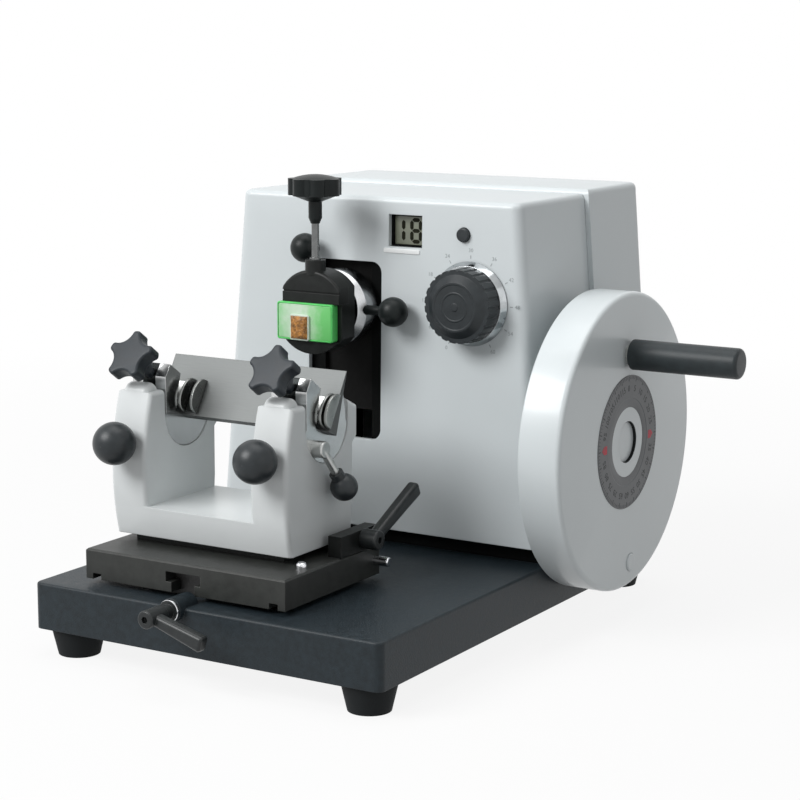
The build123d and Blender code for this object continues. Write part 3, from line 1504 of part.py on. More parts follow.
with BuildPart() as right_rocker:
    with BuildSketch(facing_right(tower_places[1] - rocker_width / 2)):
        with Locations((cradle_y, cradle_z)):
            Circle(rocker_radius)
            Rectangle(2 * rocker_radius, 2 * rocker_radius, align=standing, mode=Mode.SUBTRACT)
            Rectangle(2 * (cradle_setback - bracket_face), rocker_flat, align=standing)
        Polygon(*front_bracket, align=None)
        Polygon(*rear_jaw, align=None)
        Polygon(*knife_channel, align=None, mode=Mode.SUBTRACT)
    extrude(amount=rocker_width)
    with BuildSketch(facing_right(tower_places[1] - fin_gap / 2)):
        with Locations((front + bracket_face + fin_wall, cradle_z + fin_floor)):
            Rectangle(slope_back, crest_rise, align=(Align.MIN, Align.MIN))
    extrude(amount=fin_gap, mode=Mode.SUBTRACT)
    with BuildSketch(star_planes[1]):
        Circle(star_screw_radius + running_fit)
    extrude(amount=star_screw_reach, mode=Mode.SUBTRACT)
    with BuildSketch(facing_right(tower_places[1] + rocker_width / 2)):
        with Locations((angle_y, angle_z)):
            Circle(angle_rod_radius + running_fit)
    extrude(amount=-(angle_pin + air_gap), mode=Mode.SUBTRACT)
right_rocker.part.label = "right_rocker"
export_step(right_rocker.part, "parts/right_rocker.step")

# Pressure plates between the knife and the star screws
plate_start = clamp_middle - clamp_height / 2
plate_end = clamp_middle + clamp_height / 2
clamp_side = on_machine([
    knife_point(plate_start, half_blade(plate_start)),
    knife_point(plate_end, half_blade(plate_end)),
    knife_point(plate_end, half_blade(plate_end) + clamp_thickness),
    knife_point(plate_start, half_blade(plate_start) + clamp_thickness),
])
with BuildPart() as knife_clamps:
    for middle in tower_places:
        with BuildSketch(facing_right(middle - clamp_width / 2)):
            Polygon(*clamp_side, align=None)
        extrude(amount=clamp_width)
knife_clamps.part.label = "knife_clamps"
export_step(knife_clamps.part, "parts/knife_clamps.step")

# Star knobs on screws that press the knife back
with BuildPart() as left_star_knob:
    with BuildSketch(star_planes[0].offset(-star_thickness / 2)) as star:
        Circle(star_radius)
        with PolarLocations(star_valley + star_hollow, star_lobes, 180 / star_lobes):
            Circle(star_hollow, mode=Mode.SUBTRACT)
        fillet(star.vertices(), star_tip_round)
    extrude(amount=star_thickness)
    flats = left_star_knob.faces().sort_by(Axis((0, 0, 0), star_down))
    fillet(flats[0].edges() + flats[-1].edges(), star_edge)
    with BuildSketch(star_planes[0].offset(star_thickness / 2)):
        Circle(star_hub_radius)
    extrude(amount=star_hub)
    with BuildSketch(star_planes[0]):
        Circle(star_screw_radius)
    extrude(amount=star_screw_reach)
left_star_knob.part.label = "left_star_knob"
export_step(left_star_knob.part, "parts/left_star_knob.step")

with BuildPart() as right_star_knob:
    with BuildSketch(star_planes[1].offset(-star_thickness / 2)) as star:
        Circle(star_radius)
        with PolarLocations(star_valley + star_hollow, star_lobes, 180 / star_lobes):
            Circle(star_hollow, mode=Mode.SUBTRACT)
        fillet(star.vertices(), star_tip_round)
    extrude(amount=star_thickness)
    flats = right_star_knob.faces().sort_by(Axis((0, 0, 0), star_down))
    fillet(flats[0].edges() + flats[-1].edges(), star_edge)
    with BuildSketch(star_planes[1].offset(star_thickness / 2)):
        Circle(star_hub_radius)
    extrude(amount=star_hub)
    with BuildSketch(star_planes[1]):
        Circle(star_screw_radius)
    extrude(amount=star_screw_reach)
right_star_knob.part.label = "right_star_knob"
export_step(right_star_knob.part, "parts/right_star_knob.step")

# Front lever: clamps the carriage on the tee rail; its arm widens to a rounded end
lever_y = front - lever_reach
arm_y = lever_y + lever_thickness
arm_start = Vector(boss_x, arm_y, boss_z)
arm_way = Vector(cos(radians(lever_droop)), 0, -sin(radians(lever_droop)))
with BuildPart() as front_lever:
    with BuildSketch(facing_front(front - front_boss_proud)):
        with Locations((boss_x, boss_z)):
            Circle(lever_stud_radius)
    extrude(amount=-(front_boss_proud + front_boss_depth))
    with BuildSketch(facing_front(front - front_boss_proud)):
        with Locations((boss_x, boss_z)):
            Circle(lever_ring_radius)
    extrude(amount=lever_ring)
    with BuildSketch(facing_front(front - front_boss_proud - lever_ring)):
        with Locations((boss_x, boss_z)):
            Circle(lever_neck_radius)
    extrude(amount=lever_reach - front_boss_proud - lever_ring - 1)
    with BuildSketch(facing_front(lever_y)):
        with Locations((boss_x, boss_z)):
            Circle(lever_hub_radius)
    extrude(amount=-2 * lever_thickness)
    fillet(front_lever.faces().sort_by(Axis.Y)[0].edges(), lever_ring / 2)
    for far, width in ((0, lever_root), (lever_arm, lever_tip)):
        with BuildSketch(Plane(origin=arm_start + far * arm_way, x_dir=(0, 1, 0), z_dir=arm_way)):
            RectangleRounded(lever_thickness, width, lever_round)
    loft()
    fillet(front_lever.faces().sort_by(Axis(arm_start, arm_way))[-1].edges(), lever_edge)
    with BuildSketch(facing_front(lever_y)):
        with Locations((boss_x, boss_z)):
            RegularPolygon(lever_socket, 6)
    extrude(amount=-lever_ring, mode=Mode.SUBTRACT)
front_lever.part.label = "front_lever"
export_step(front_lever.part, "parts/front_lever.step")

# Side lever on the carriage's bracket: locks the cross slide
cross_y = front + cross_pivot_setback
cross_z = top + cross_pivot_rise
cross_face = bracket_x + bracket_width + air_gap
cross_start = Vector(cross_face + cross_hub / 2, cross_y, cross_z)
cross_way = Vector(0, cos(radians(cross_slope)), sin(radians(cross_slope)))
with BuildPart() as cross_lever:
    with BuildSketch(facing_right(cross_face)):
        with Locations((cross_y, cross_z)):
            Circle(cross_hub_radius)
    extrude(amount=cross_hub)
    fillet(cross_lever.faces().sort_by(Axis.X)[-1].edges(), lever_ring / 2)
    with BuildSketch(facing_right(cross_face)):
        with Locations((cross_y, cross_z)):
            Circle(cross_pin_radius)
    extrude(amount=-(bracket_width - 2))
    for far, width in ((0, lever_root), (cross_arm, lever_tip)):
        with BuildSketch(Plane(origin=cross_start + far * cross_way, x_dir=(1, 0, 0), z_dir=cross_way)):
            RectangleRounded(lever_thickness, width, lever_round)
    loft()
    fillet(cross_lever.faces().sort_by(Axis(cross_start, cross_way))[-1].edges(), lever_edge)
    with BuildSketch(facing_right(cross_face + cross_hub)):
        with Locations((cross_y, cross_z)):
            RegularPolygon(lever_socket, 6)
    extrude(amount=-lever_ring, mode=Mode.SUBTRACT)
cross_lever.part.label = "cross_lever"
export_step(cross_lever.part, "parts/cross_lever.step")

# Angle lever on the right rocker's end: hub, bent rod and ball
angle_face = tower_places[1] + rocker_width / 2
angle_start = Vector(angle_face + angle_hub - angle_rod_radius, angle_y, angle_z)
angle_end = Vector(
    angle_face + angle_ball_radius + lever_edge,
    angle_y + angle_reach * cos(radians(angle_slope)),
    angle_z + angle_reach * sin(radians(angle_slope)),
)
with BuildPart() as angle_lever:
    with BuildSketch(facing_right(angle_face)):
        with Locations((angle_y, angle_z)):
            Circle(angle_hub_radius)
    extrude(amount=angle_hub)
    fillet(angle_lever.faces().sort_by(Axis.X)[-1].edges(), 1)
    with BuildSketch(facing_right(angle_face)):
        with Locations((angle_y, angle_z)):
            Circle(angle_rod_radius)
    extrude(amount=-angle_pin)
    with BuildSketch(Plane(origin=angle_start, z_dir=angle_end - angle_start)):
        Circle(angle_rod_radius)
    extrude(amount=(angle_end - angle_start).length)
angle_lever.part.label = "angle_lever"
export_step(angle_lever.part, "parts/angle_lever.step")

with BuildPart() as angle_lever_ball:
    with Locations(Plane(origin=angle_end, z_dir=angle_end - angle_start)):
        Sphere(angle_ball_radius)
    with BuildSketch(Plane(origin=angle_end, z_dir=angle_start - angle_end).offset(angle_ball_radius - 1)):
        Circle(angle_neck_radius)
    extrude(amount=angle_neck)
    with BuildSketch(Plane(origin=angle_end, z_dir=angle_start - angle_end)):
        Circle(angle_rod_radius + press_seat)
    extrude(amount=angle_ball_radius + angle_neck, mode=Mode.SUBTRACT)
angle_lever_ball.part.label = "angle_lever_ball"
export_step(angle_lever_ball.part, "parts/angle_lever_ball.step")
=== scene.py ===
import json
from functools import partial
from math import cos, pi, radians, sin

import bmesh
import bpy
from mathutils import Matrix, Vector


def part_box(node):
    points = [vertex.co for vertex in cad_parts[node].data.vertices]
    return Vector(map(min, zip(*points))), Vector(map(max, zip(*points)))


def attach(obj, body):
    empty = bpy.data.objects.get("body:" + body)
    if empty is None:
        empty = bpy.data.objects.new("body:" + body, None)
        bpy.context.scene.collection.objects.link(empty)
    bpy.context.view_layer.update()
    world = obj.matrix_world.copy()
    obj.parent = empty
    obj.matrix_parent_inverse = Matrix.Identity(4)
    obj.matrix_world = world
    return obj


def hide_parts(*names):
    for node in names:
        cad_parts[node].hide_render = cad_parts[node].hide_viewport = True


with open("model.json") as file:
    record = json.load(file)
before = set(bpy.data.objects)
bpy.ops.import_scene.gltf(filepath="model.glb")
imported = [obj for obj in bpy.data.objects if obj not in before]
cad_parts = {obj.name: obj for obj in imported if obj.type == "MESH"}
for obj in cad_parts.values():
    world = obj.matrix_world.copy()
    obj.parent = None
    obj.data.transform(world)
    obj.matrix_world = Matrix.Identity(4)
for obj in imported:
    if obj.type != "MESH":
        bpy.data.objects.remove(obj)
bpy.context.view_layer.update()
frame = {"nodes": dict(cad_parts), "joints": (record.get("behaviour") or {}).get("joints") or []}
MM = 0.001                     # forms are drawn in mm, and the frame is in metres


def corners(node):
    """The low and the high corner of a node's box."""
    low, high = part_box(node)
    return Vector(low), Vector(high)


def middle(node):
    low, high = corners(node)
    return (low + high) / 2


# Node trees: an input is a value or another node's output

def feed(tree, node, inputs):
    for key, value in inputs.items():
        if isinstance(value, bpy.types.NodeSocket):
            tree.links.new(value, node.inputs[key])
        else:
            node.inputs[key].default_value = value


def add(tree, kind, inputs=None, **settings):
    """A new node; the settings come first, since some of them decide which inputs there are."""
    node = tree.nodes.new(kind)
    for key, value in settings.items():
        setattr(node, key, value)
    feed(tree, node, inputs or {})
    return node


def maths(tree, operation, *terms):
    return add(tree, "ShaderNodeMath", dict(enumerate(terms)), operation=operation).outputs["Value"]


def ranged(tree, source, span, onto):
    """The source's run over span, stretched onto another range and held at its ends."""
    keys = ("From Min", "From Max", "To Min", "To Max")
    return add(tree, "ShaderNodeMapRange", {"Value": source, **dict(zip(keys, (*span, *onto)))}).outputs["Result"]


def laid_over(tree, under, top, share):
    return add(tree, "ShaderNodeMix", {"Factor": share, "A": under, "B": top}, data_type="RGBA").outputs["Result"]


def noise(tree, place, scale, detail):
    return add(tree, "ShaderNodeTexNoise", {"Vector": place, "Scale": scale, "Detail": detail}).outputs["Fac"]


def ramp(tree, share, stops):
    """A run of colours over share; stops are (place, colour), from the first to the last."""
    node = add(tree, "ShaderNodeValToRGB", {"Fac": share})
    elements = node.color_ramp.elements
    for element, (place, colour) in zip(elements, (stops[0], stops[-1])):
        element.position, element.color = place, colour
    for place, colour in stops[1:-1]:
        elements.new(place).color = colour
    return node.outputs["Color"]


def opaque(colour, factor=1.0):
    return (*(c * factor for c in colour), 1)


# Finishes

TONE_DETAIL, DIRT_DETAIL, RELIEF_DETAIL = 5.0, 3.0, 2.0
TONE_SPAN = (0.3, 0.7)         # stretch of the noise over which the tone runs from its dark to its light end
COAT_ROUGHNESS = 0.12
DIRT_SHADE = 0.72              # brightness of dirt, as a share of the finish's own
DIRT_SPAN = (0.45, 0.75)
EDGE_SAMPLES = 6
EDGE_TURN = (0.99, 0.82)       # cosine between flat and softened normal, where wear starts and where it is full
WEAR_BREAKS = ((0.35, 0.6), (0.2, 1.0))      # the tone's noise, and the share of the wear that it leaves
# width over which the painted shade band about a plane fades out
SHADE_BAND_BLEND = 0.2 * MM
CLOUD = ((0.2, 0.8), (-0.12, 0.12))          # the tone's noise, and how far it shifts a run of colours
FADE_SHARE = 0.9


def finish_of(name, colour, rough, metallic=0.0, grain=60.0, spread=0.06, stretch=(1, 1, 1), rough_spread=0.08,
              bump=0.05, bump_grain=900.0, depth=0.0002, coat=0.0, dirt=0.0, dirt_grain=14.0, specular=0.5,
              edge=0.35, wear=None, brushed=0.0, pocket=None, fade=None):
    """A procedural finish: a cloudy tone with patches of dirt, uneven gloss, a fine relief and softened edges.

    Grains are noise scales per metre, depth is in metres, and edge is the radius of softened edges in mm.
    wear = (share, colour) rubs the finish off along the edges.
    brushed smears the highlights round the y axis, as on a turned face.
    A band given as (x, half, colour) darkens what lies within half of the plane at x: painted shade, such as the shade
    in a rocker's knife channel.
    fade = (low, high, stops) lays a cloudy run of colours over it along x, such as wax that thins towards one side.
    """
    material = bpy.data.materials.new(name)
    material.use_nodes = True
    tree = material.node_tree
    shader = tree.nodes["Principled BSDF"]
    place = add(tree, "ShaderNodeTexCoord").outputs["Object"]
    stretched = add(tree, "ShaderNodeMapping", {"Vector": place, "Scale": stretch}).outputs["Vector"]
    tone = noise(tree, stretched, grain, TONE_DETAIL)
    last = ramp(tree, tone, [(TONE_SPAN[0], opaque(colour, 1 - spread)), (TONE_SPAN[1], opaque(colour, 1 + spread))])
    if fade or pocket:
        x = add(tree, "ShaderNodeSeparateXYZ", {"Vector": place}).outputs["X"]
    if fade:
        low, high, stops = fade
        cloud = maths(tree, "ADD", ranged(tree, x, (low, high), (0, 1)), ranged(tree, tone, *CLOUD))
        run = ramp(tree, cloud, [(spot, opaque(hue)) for spot, hue in stops])
        last = laid_over(tree, last, run, FADE_SHARE)
    if dirt:
        patch = ranged(tree, noise(tree, place, dirt_grain, DIRT_DETAIL), DIRT_SPAN, (0, dirt))
        last = laid_over(tree, last, opaque(colour, DIRT_SHADE), patch)
    # painted shade: a dark band about the plane at x
    if pocket:
        plane, half, shade = pocket
        off = maths(tree, "ABSOLUTE", maths(tree, "SUBTRACT", x, plane))
        last = laid_over(tree, last, opaque(shade), ranged(tree, off, (half, half + SHADE_BAND_BLEND), (1, 0)))
    relief = {"Strength": bump, "Distance": depth, "Height": noise(tree, stretched, bump_grain, RELIEF_DETAIL)}
    if edge:
        relief["Normal"] = add(tree, "ShaderNodeBevel", {"Radius": edge * MM}, samples=EDGE_SAMPLES).outputs["Normal"]
    if wear:
        share, worn = wear
        flat = add(tree, "ShaderNodeNewGeometry").outputs["Normal"]
        turn = add(tree, "ShaderNodeVectorMath", {0: relief["Normal"], 1: flat}, operation="DOT_PRODUCT")
        rubbed = maths(tree, "MULTIPLY", ranged(tree, turn.outputs["Value"], EDGE_TURN, (0, share)),
                       ranged(tree, tone, *WEAR_BREAKS))
        last = laid_over(tree, last, opaque(worn), rubbed)
    if brushed:
        tangent = add(tree, "ShaderNodeTangent", direction_type="RADIAL", axis="Y")
        feed(tree, shader, {"Anisotropic": brushed, "Tangent": tangent.outputs["Tangent"]})
    feed(tree, shader, {
        "Base Color": last, "Metallic": metallic, "Specular IOR Level": specular,
        "Roughness": ranged(tree, tone, (0, 1), (rough - rough_spread, rough + rough_spread)),
        "Coat Weight": coat, "Coat Roughness": COAT_ROUGHNESS,
        "Normal": add(tree, "ShaderNodeBump", relief).outputs["Normal"],
    })
    return material


satin = partial(finish_of, grain=150, spread=0.25, bump=0.15, bump_grain=1200)
plastic = partial(finish_of, grain=200, spread=0.15, bump=0.2, bump_grain=2200)
metal = partial(finish_of, metallic=1)
printed = partial(finish_of, grain=400, edge=0)
ALONG_Y = (8, 0.4, 1)          # stretch of a grain that is drawn out along y, from grinding
WAX_INSET = 1.5                # from the cassette's sides to the ends of the wax's run of colours
WAX_RUN = [
    (0.0, (0.3, 0.62, 0.31)), (0.2, (0.54, 0.7, 0.54)), (0.45, (0.6, 0.73, 0.6)), (0.68, (0.3, 0.63, 0.3)),
    (0.85, (0.13, 0.56, 0.14)), (1.0, (0.12, 0.55, 0.13)),
]
tray_low, tray_high = corners("cassette")
wax_span = (tray_low.x + WAX_INSET * MM, tray_high.x - WAX_INSET * MM)
FINISHES = {
    # Paint
    "casing": finish_of("casing_enamel", (0.64, 0.685, 0.7), 0.42, grain=25, spread=0.012, bump=0.12, bump_grain=1500,
                        depth=0.0001, coat=0.15, dirt=0.05, dirt_grain=9, edge=0.8),
    "wheel": finish_of("wheel_enamel", (0.68, 0.73, 0.745), 0.36, grain=25, spread=0.015, bump=0.1, bump_grain=1300,
                       depth=0.0001, coat=0.25, dirt=0.05, edge=0.8),
    "holder": finish_of("holder_enamel", (0.68, 0.71, 0.715), 0.38, grain=40, spread=0.02, bump=0.15, bump_grain=1200,
                        depth=0.00012, coat=0.2, dirt=0.06, dirt_grain=30, edge=0.8),
    "base": finish_of("base_enamel", (0.014, 0.021, 0.026), 0.45, grain=300, spread=0.25, bump=0.5, bump_grain=1100,
                      specular=0.28, depth=0.0003, dirt=0.3, dirt_grain=20, edge=0.8, wear=(0.2, (0.12, 0.13, 0.14))),
    "carriage": finish_of("carriage_enamel", (0.026, 0.028, 0.026), 0.42, grain=200, spread=0.18, bump=0.2,
                          specular=0.35, dirt=0.2, edge=0.6, wear=(0.35, (0.18, 0.18, 0.17))),
    # a lighter copy of the casing enamel: painted highlight along the display window's lower edge
    "lip": finish_of("lip_painted_highlight", (0.86, 0.88, 0.88), 0.3, spread=0.02, bump_grain=1300),
    "black": satin("black_satin", (0.01, 0.0115, 0.011), 0.4, specular=0.22, wear=(0.3, (0.12, 0.12, 0.12))),
    "lever": satin("lever_satin", (0.02, 0.023, 0.024), 0.34, specular=0.35, wear=(0.5, (0.2, 0.2, 0.2))),
    # partly the parts' own black, partly painted shade: darker than the black paint, for the shade in the slot, under
    # the casing and in the display's recess
    "dark": satin("slot_black", (0.003, 0.0035, 0.0035), 0.8, bump=0.2, bump_grain=700, edge=0, specular=0.1),
    # Rubber and plastic
    "rubber": finish_of("foot_rubber", (0.01, 0.012, 0.013), 0.75, grain=120, spread=0.25, bump=0.4, bump_grain=1500,
                        specular=0.2, dirt=0.4, dirt_grain=60),
    "knob": plastic("knob_plastic", (0.022, 0.027, 0.03), 0.36, specular=0.35),
    "ebony": plastic("moulded_black", (0.008, 0.011, 0.011), 0.38, specular=0.2),
    "star": plastic("star_plastic", (0.022, 0.028, 0.034), 0.42, bump=0.25, specular=0.3, edge=0.8),
    "grip": plastic("grip_plastic", (0.024, 0.031, 0.034), 0.42, bump_grain=2000, specular=0.3),
    "green": finish_of("cassette_plastic", (0.1, 0.62, 0.14), 0.42, grain=120, spread=0.1, bump=0.1, dirt=0.2,
                       dirt_grain=80),
    # Metal
    "chrome": metal("chrome_plate", (0.72, 0.73, 0.75), 0.14, grain=80, spread=0.05, rough_spread=0.05, bump=0.04,
                    bump_grain=700),
    "flange": metal("turned_flange", (0.5, 0.51, 0.52), 0.26, grain=80, spread=0.1, rough_spread=0.06, bump_grain=700,
                    brushed=0.75),
    "skirt": metal("polished_skirt", (0.4, 0.42, 0.43), 0.1, grain=70, spread=0.35, rough_spread=0.05, bump_grain=300,
                   brushed=0.6),
    "steel": metal("turned_steel", (0.42, 0.43, 0.42), 0.3, grain=300, spread=0.1, rough_spread=0.06, depth=0.0001),
    "ground": metal("ground_steel", (0.45, 0.45, 0.44), 0.3, grain=400, spread=0.15, stretch=ALONG_Y, bump=0.15,
                    bump_grain=1800),
    "rail": metal("rail_oxide", (0.05, 0.05, 0.05), 0.4, metallic=0.6, grain=400, spread=0.25, stretch=ALONG_Y,
                  bump=0.2, bump_grain=1800),
    "blade": metal("blade_steel", (0.12, 0.126, 0.125), 0.5, metallic=0.8, grain=260, spread=0.08,
                   stretch=(0.3, 6, 6), bump=0.12, bump_grain=1500),
    "bronze": metal("turned_bronze", (0.55, 0.36, 0.16), 0.35, grain=500, spread=0.15),
    # the slide block inside the arm's slot, painted near black: painted shade for the slot's dark interior, not the
    # colour of iron
    "iron": finish_of("slide_painted_shade", (0.006, 0.006, 0.006), 0.7, grain=300, spread=0.25, bump=0.3, specular=0.12),
    "rod": metal("dark_rod", (0.17, 0.175, 0.175), 0.26, grain=300, spread=0.1, rough_spread=0.05, bump=0.04),
    "ring": metal("ring_aluminium", (0.1, 0.105, 0.11), 0.45, metallic=0.4, grain=500, spread=0.14, rough_spread=0.1,
                  bump=0.1, dirt=0.6, dirt_grain=40),
    "shoe": metal("shoe_nickel", (0.3, 0.31, 0.3), 0.28, grain=150, spread=0.1, bump=0.06, edge=0.4),
    # Wax and tissue
    "paraffin": finish_of("paraffin", (0.62, 0.72, 0.62), 0.45, grain=160, spread=0.12, bump=0.4, bump_grain=500,
                          depth=0.0004),
    "wax": finish_of("thin_wax", (0.4, 0.66, 0.4), 0.35, grain=220, spread=0.1, bump=0.3, bump_grain=500, depth=0.0003,
                     fade=(*wax_span, WAX_RUN)),
    "tissue": finish_of("stained_tissue", (0.36, 0.16, 0.035), 0.5, grain=420, spread=0.75, bump=0.8, bump_grain=700,
                        depth=0.0008, dirt=0.8, dirt_grain=500),
    # Glass and print
    "lcd": finish_of("display_glass", (0.2, 0.215, 0.16), 0.22, grain=90, spread=0.08, coat=0.4, edge=0),
    "ink": printed("display_ink", (0.014, 0.014, 0.008), 0.7, grain=300, spread=0.3, specular=0.1),
    "mark": printed("dark_mark", (0.012, 0.013, 0.014), 0.6, spread=0.3),
    "faint": printed("grey_mark", (0.3, 0.33, 0.34), 0.6, spread=0.1),
    "red": printed("red_mark", (0.42, 0.01, 0.03), 0.5, spread=0.2),
}
# painted shade in each rocker's knife channel, as a dark band about the rocker's middle plane
SHADE_BAND_HALF, SHADE_BAND_COLOUR = 4.6 * MM, (0.02, 0.022, 0.022)
for rocker in ("left_rocker", "right_rocker"):
    FINISHES[rocker] = metal(rocker + "_nickel", (0.62, 0.63, 0.63), 0.2, grain=120, bump=0.06, edge=0.5,
                             pocket=(middle(rocker).x, SHADE_BAND_HALF, SHADE_BAND_COLOUR))

NODES_IN = {
    "casing": "front_shell rear_cover",
    "wheel": "handwheel hub_cap lock_pin",
    "holder": "holder_casting",
    "base": "base_plate",
    "carriage": "carriage_block",
    "black": "cross_slide lever_bracket head_body clamp_jaw",
    "lever": "front_lever cross_lever",
    "dark": "main_frame slot_seal display_module",
    "rubber": "rubber_feet",
    "knob": "left_tower_knob right_tower_knob angle_lever_ball coarse_wheel dial_knob push_button",
    "ebony": "spindle_knob left_lock_knob right_lock_knob",
    "star": "left_star_knob right_star_knob",
    "grip": "handle_grip",
    "green": "cassette",
    "chrome": "stop_screw carriage_screw",
    "flange": "arm_flange",
    "skirt": "dial_skirt",
    "steel": "cover_screws knife_clamps angle_lever feed_screw ratchet_wheel feed_pawl tilt_ball main_shaft "
             "handle_stud coarse_shaft dial_cam",
    "ground": "guide_rods specimen_arm",
    "rail": "tee_rail",
    "blade": "knife_blade",
    "bronze": "main_bearings slide_bushes",
    "iron": "slide_block",
    "rod": "clamp_spindle",
    "ring": "dial_ring",
    "tissue": "tissue_block",
    "left_rocker": "left_rocker",
    "right_rocker": "right_rocker",
}
FINISH_OF_NODE = {node: finish for finish, nodes in NODES_IN.items() for node in nodes.split()}


# Smooth shading across soft edges, as a modifier, so that no CAD mesh changes

SOFT_BELOW = radians(32)       # turn between two faces, up to which their edge is smooth
WELD = 2e-6                    # metres between vertices that count as one


def softener():
    group = bpy.data.node_groups.new("soften", "GeometryNodeTree")
    for way in ("INPUT", "OUTPUT"):
        group.interface.new_socket("Geometry", in_out=way, socket_type="NodeSocketGeometry")
    start = add(group, "NodeGroupInput").outputs[0]
    weld = add(group, "GeometryNodeMergeByDistance", {"Geometry": start, "Distance": WELD})
    smooth = add(group, "GeometryNodeSetShadeSmooth", {"Geometry": weld.outputs["Geometry"]})
    turn = add(group, "GeometryNodeInputMeshEdgeAngle").outputs["Unsigned Angle"]
    sharp = add(group, "FunctionNodeCompare", {"A": turn, "B": SOFT_BELOW}, data_type="FLOAT",
                operation="GREATER_THAN")
    crease = add(group, "GeometryNodeSetShadeSmooth",
                 {"Geometry": smooth.outputs["Geometry"], "Selection": sharp.outputs["Result"], "Shade Smooth": False},
                 domain="EDGE")
    add(group, "NodeGroupOutput", {0: crease.outputs["Geometry"]})
    return group


SOFTEN = softener()


def soften(obj):
    obj.modifiers.new("soften", "NODES").node_group = SOFTEN


for name, obj in frame["nodes"].items():
    obj.data.materials.clear()
    obj.data.materials.append(FINISHES[FINISH_OF_NODE[name]])
    soften(obj)


# Helpers for the pieces: a form is its vertices, in metres in the shared frame, and its faces

BEVEL_SEGMENTS, BEVEL_ABOVE = 3, radians(30)
CORNER_STEPS = 6


def piece(name, form, body, finish, bevel=0.0, replaces=()):
    """A new piece that rides on a body; bevel is in mm."""
    verts, faces = form
    mesh = bpy.data.meshes.new(name)
    mesh.from_pydata([tuple(v) for v in verts], [], faces)
    mesh.update()
    work = bmesh.new()
    work.from_mesh(mesh)
    bmesh.ops.recalc_face_normals(work, faces=work.faces)
    work.to_mesh(mesh)
    work.free()
    obj = bpy.data.objects.new(name, mesh)
    bpy.context.collection.objects.link(obj)
    mesh.materials.append(FINISHES[finish])
    if bevel:
        cut = obj.modifiers.new("bevel", "BEVEL")
        cut.width, cut.segments = bevel * MM, BEVEL_SEGMENTS
        cut.limit_method, cut.angle_limit = "ANGLE", BEVEL_ABOVE
    soften(obj)
    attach(obj, body)
    if replaces:
        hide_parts(*replaces)


def turned(profile, origin, axis, steps=96):
    """A lathe form: profile is (radius, distance along the axis) in mm; a last radius of 0 closes it in a tip."""
    out = Vector(axis)
    side = out.orthogonal().normalized()
    up = out.cross(side)
    verts, faces, rings = [], [], []
    for r, t in profile:
        count = steps if r else 1
        rings.append(range(len(verts), len(verts) + count))
        for i in range(count):
            a = 2 * pi * i / steps
            verts.append(origin + (side * cos(a) * r + up * sin(a) * r + out * t) * MM)
    for low, high in zip(rings, rings[1:]):
        for i in range(steps):
            j = (i + 1) % steps
            faces.append((low[i], low[j], high[0]) if len(high) == 1 else (low[i], low[j], high[j], high[i]))
    return verts, faces


def plate(outline, low, high, at):
    """A flat outline in mm, from depth low to high; at maps (a, b, depth) to the frame."""
    n = len(outline)
    verts = [at(a, b, low) for a, b in outline] + [at(a, b, high) for a, b in outline]
    faces = [tuple(range(n))[::-1], tuple(range(n, 2 * n))]
    faces += [(i, (i + 1) % n, n + (i + 1) % n, n + i) for i in range(n)]
    return verts, faces


def gathered(forms):
    verts, faces = [], []
    for more, sides in forms:
        base = len(verts)
        verts += more
        faces += [tuple(base + i for i in face) for face in sides]
    return verts, faces


def rounded(width, height, radius):
    """Outline of a rounded rectangle about the origin."""
    out = []
    for side, end, start in ((1, 1, 0), (-1, 1, 90), (-1, -1, 180), (1, -1, 270)):
        for i in range(CORNER_STEPS + 1):
            a = radians(start + 90 * i / CORNER_STEPS)
            out.append((side * (width / 2 - radius) + radius * cos(a), end * (height / 2 - radius) + radius * sin(a)))
    return out


def words(text, size, lift, at):
    """A word's letters as flat plates, with the middle of the word at the origin of (a, b)."""
    data = bpy.data.curves.new("word", "FONT")
    data.body, data.size = text, size
    data.align_x, data.align_y = "CENTER", "CENTER"
    data.extrude = lift / 2
    data.resolution_u = 2
    obj = bpy.data.objects.new("word", data)
    bpy.context.collection.objects.link(obj)
    bpy.context.view_layer.update()
    mesh = bpy.data.meshes.new_from_object(obj.evaluated_get(bpy.context.evaluated_depsgraph_get()))
    verts = [at(v.co.x, v.co.y, v.co.z + lift / 2) for v in mesh.vertices]
    faces = [tuple(p.vertices) for p in mesh.polygons]
    bpy.data.objects.remove(obj)
    bpy.data.curves.remove(data)
    bpy.data.meshes.remove(mesh)
    return verts, faces


PRINT, FINE_PRINT = 0.06, 0.05           # thickness of printed marks

# Display: glass with two seven-segment digits, deep in its dark housing

DISPLAY_RECESS = 2.5
GLASS_MARGIN, GLASS_CORNER = 4.2, 0.6    # from the module's outline to the glass, and the glass's corner radius
GLASS_BACK, GLASS_FACE = 0.1, 0.7        # heights over the recess's floor
DIGIT_HEIGHT, BAR, BAR_GAP = 13.4, 2.5, 0.25       # height, thickness of a bar, and gap at its ends
display_low, display_high = corners("display_module")
display = middle("display_module")
display_w, _, display_h = (display_high - display_low) / MM
display_floor = Vector((display.x, display_low.y + DISPLAY_RECESS * MM, display.z))


def on_display(a, b, t):
    return display_floor + Vector((a, -t, b)) * MM


def digit(lit, x, width):
    """The lit bars of a seven-segment digit with its middle at x, as six-cornered outlines."""
    w, h, t = width / 2, DIGIT_HEIGHT / 2, BAR / 2
    bars = {
        "a": (0, h, 1), "g": (0, 0, 1), "d": (0, -h, 1),
        "f": (-w, h / 2, 0), "b": (w, h / 2, 0), "e": (-w, -h / 2, 0), "c": (w, -h / 2, 0),
    }
    out = []
    for key in lit:
        cx, cz, flat = bars[key]
        half = (w if flat else h / 2) - BAR_GAP
        shape = [(-half, 0), (-half + t, t), (half - t, t), (half, 0), (half - t, -t), (-half + t, -t)]
        out.append([(x + cx + (a if flat else b), cz + (b if flat else a)) for a, b in shape])
    return out


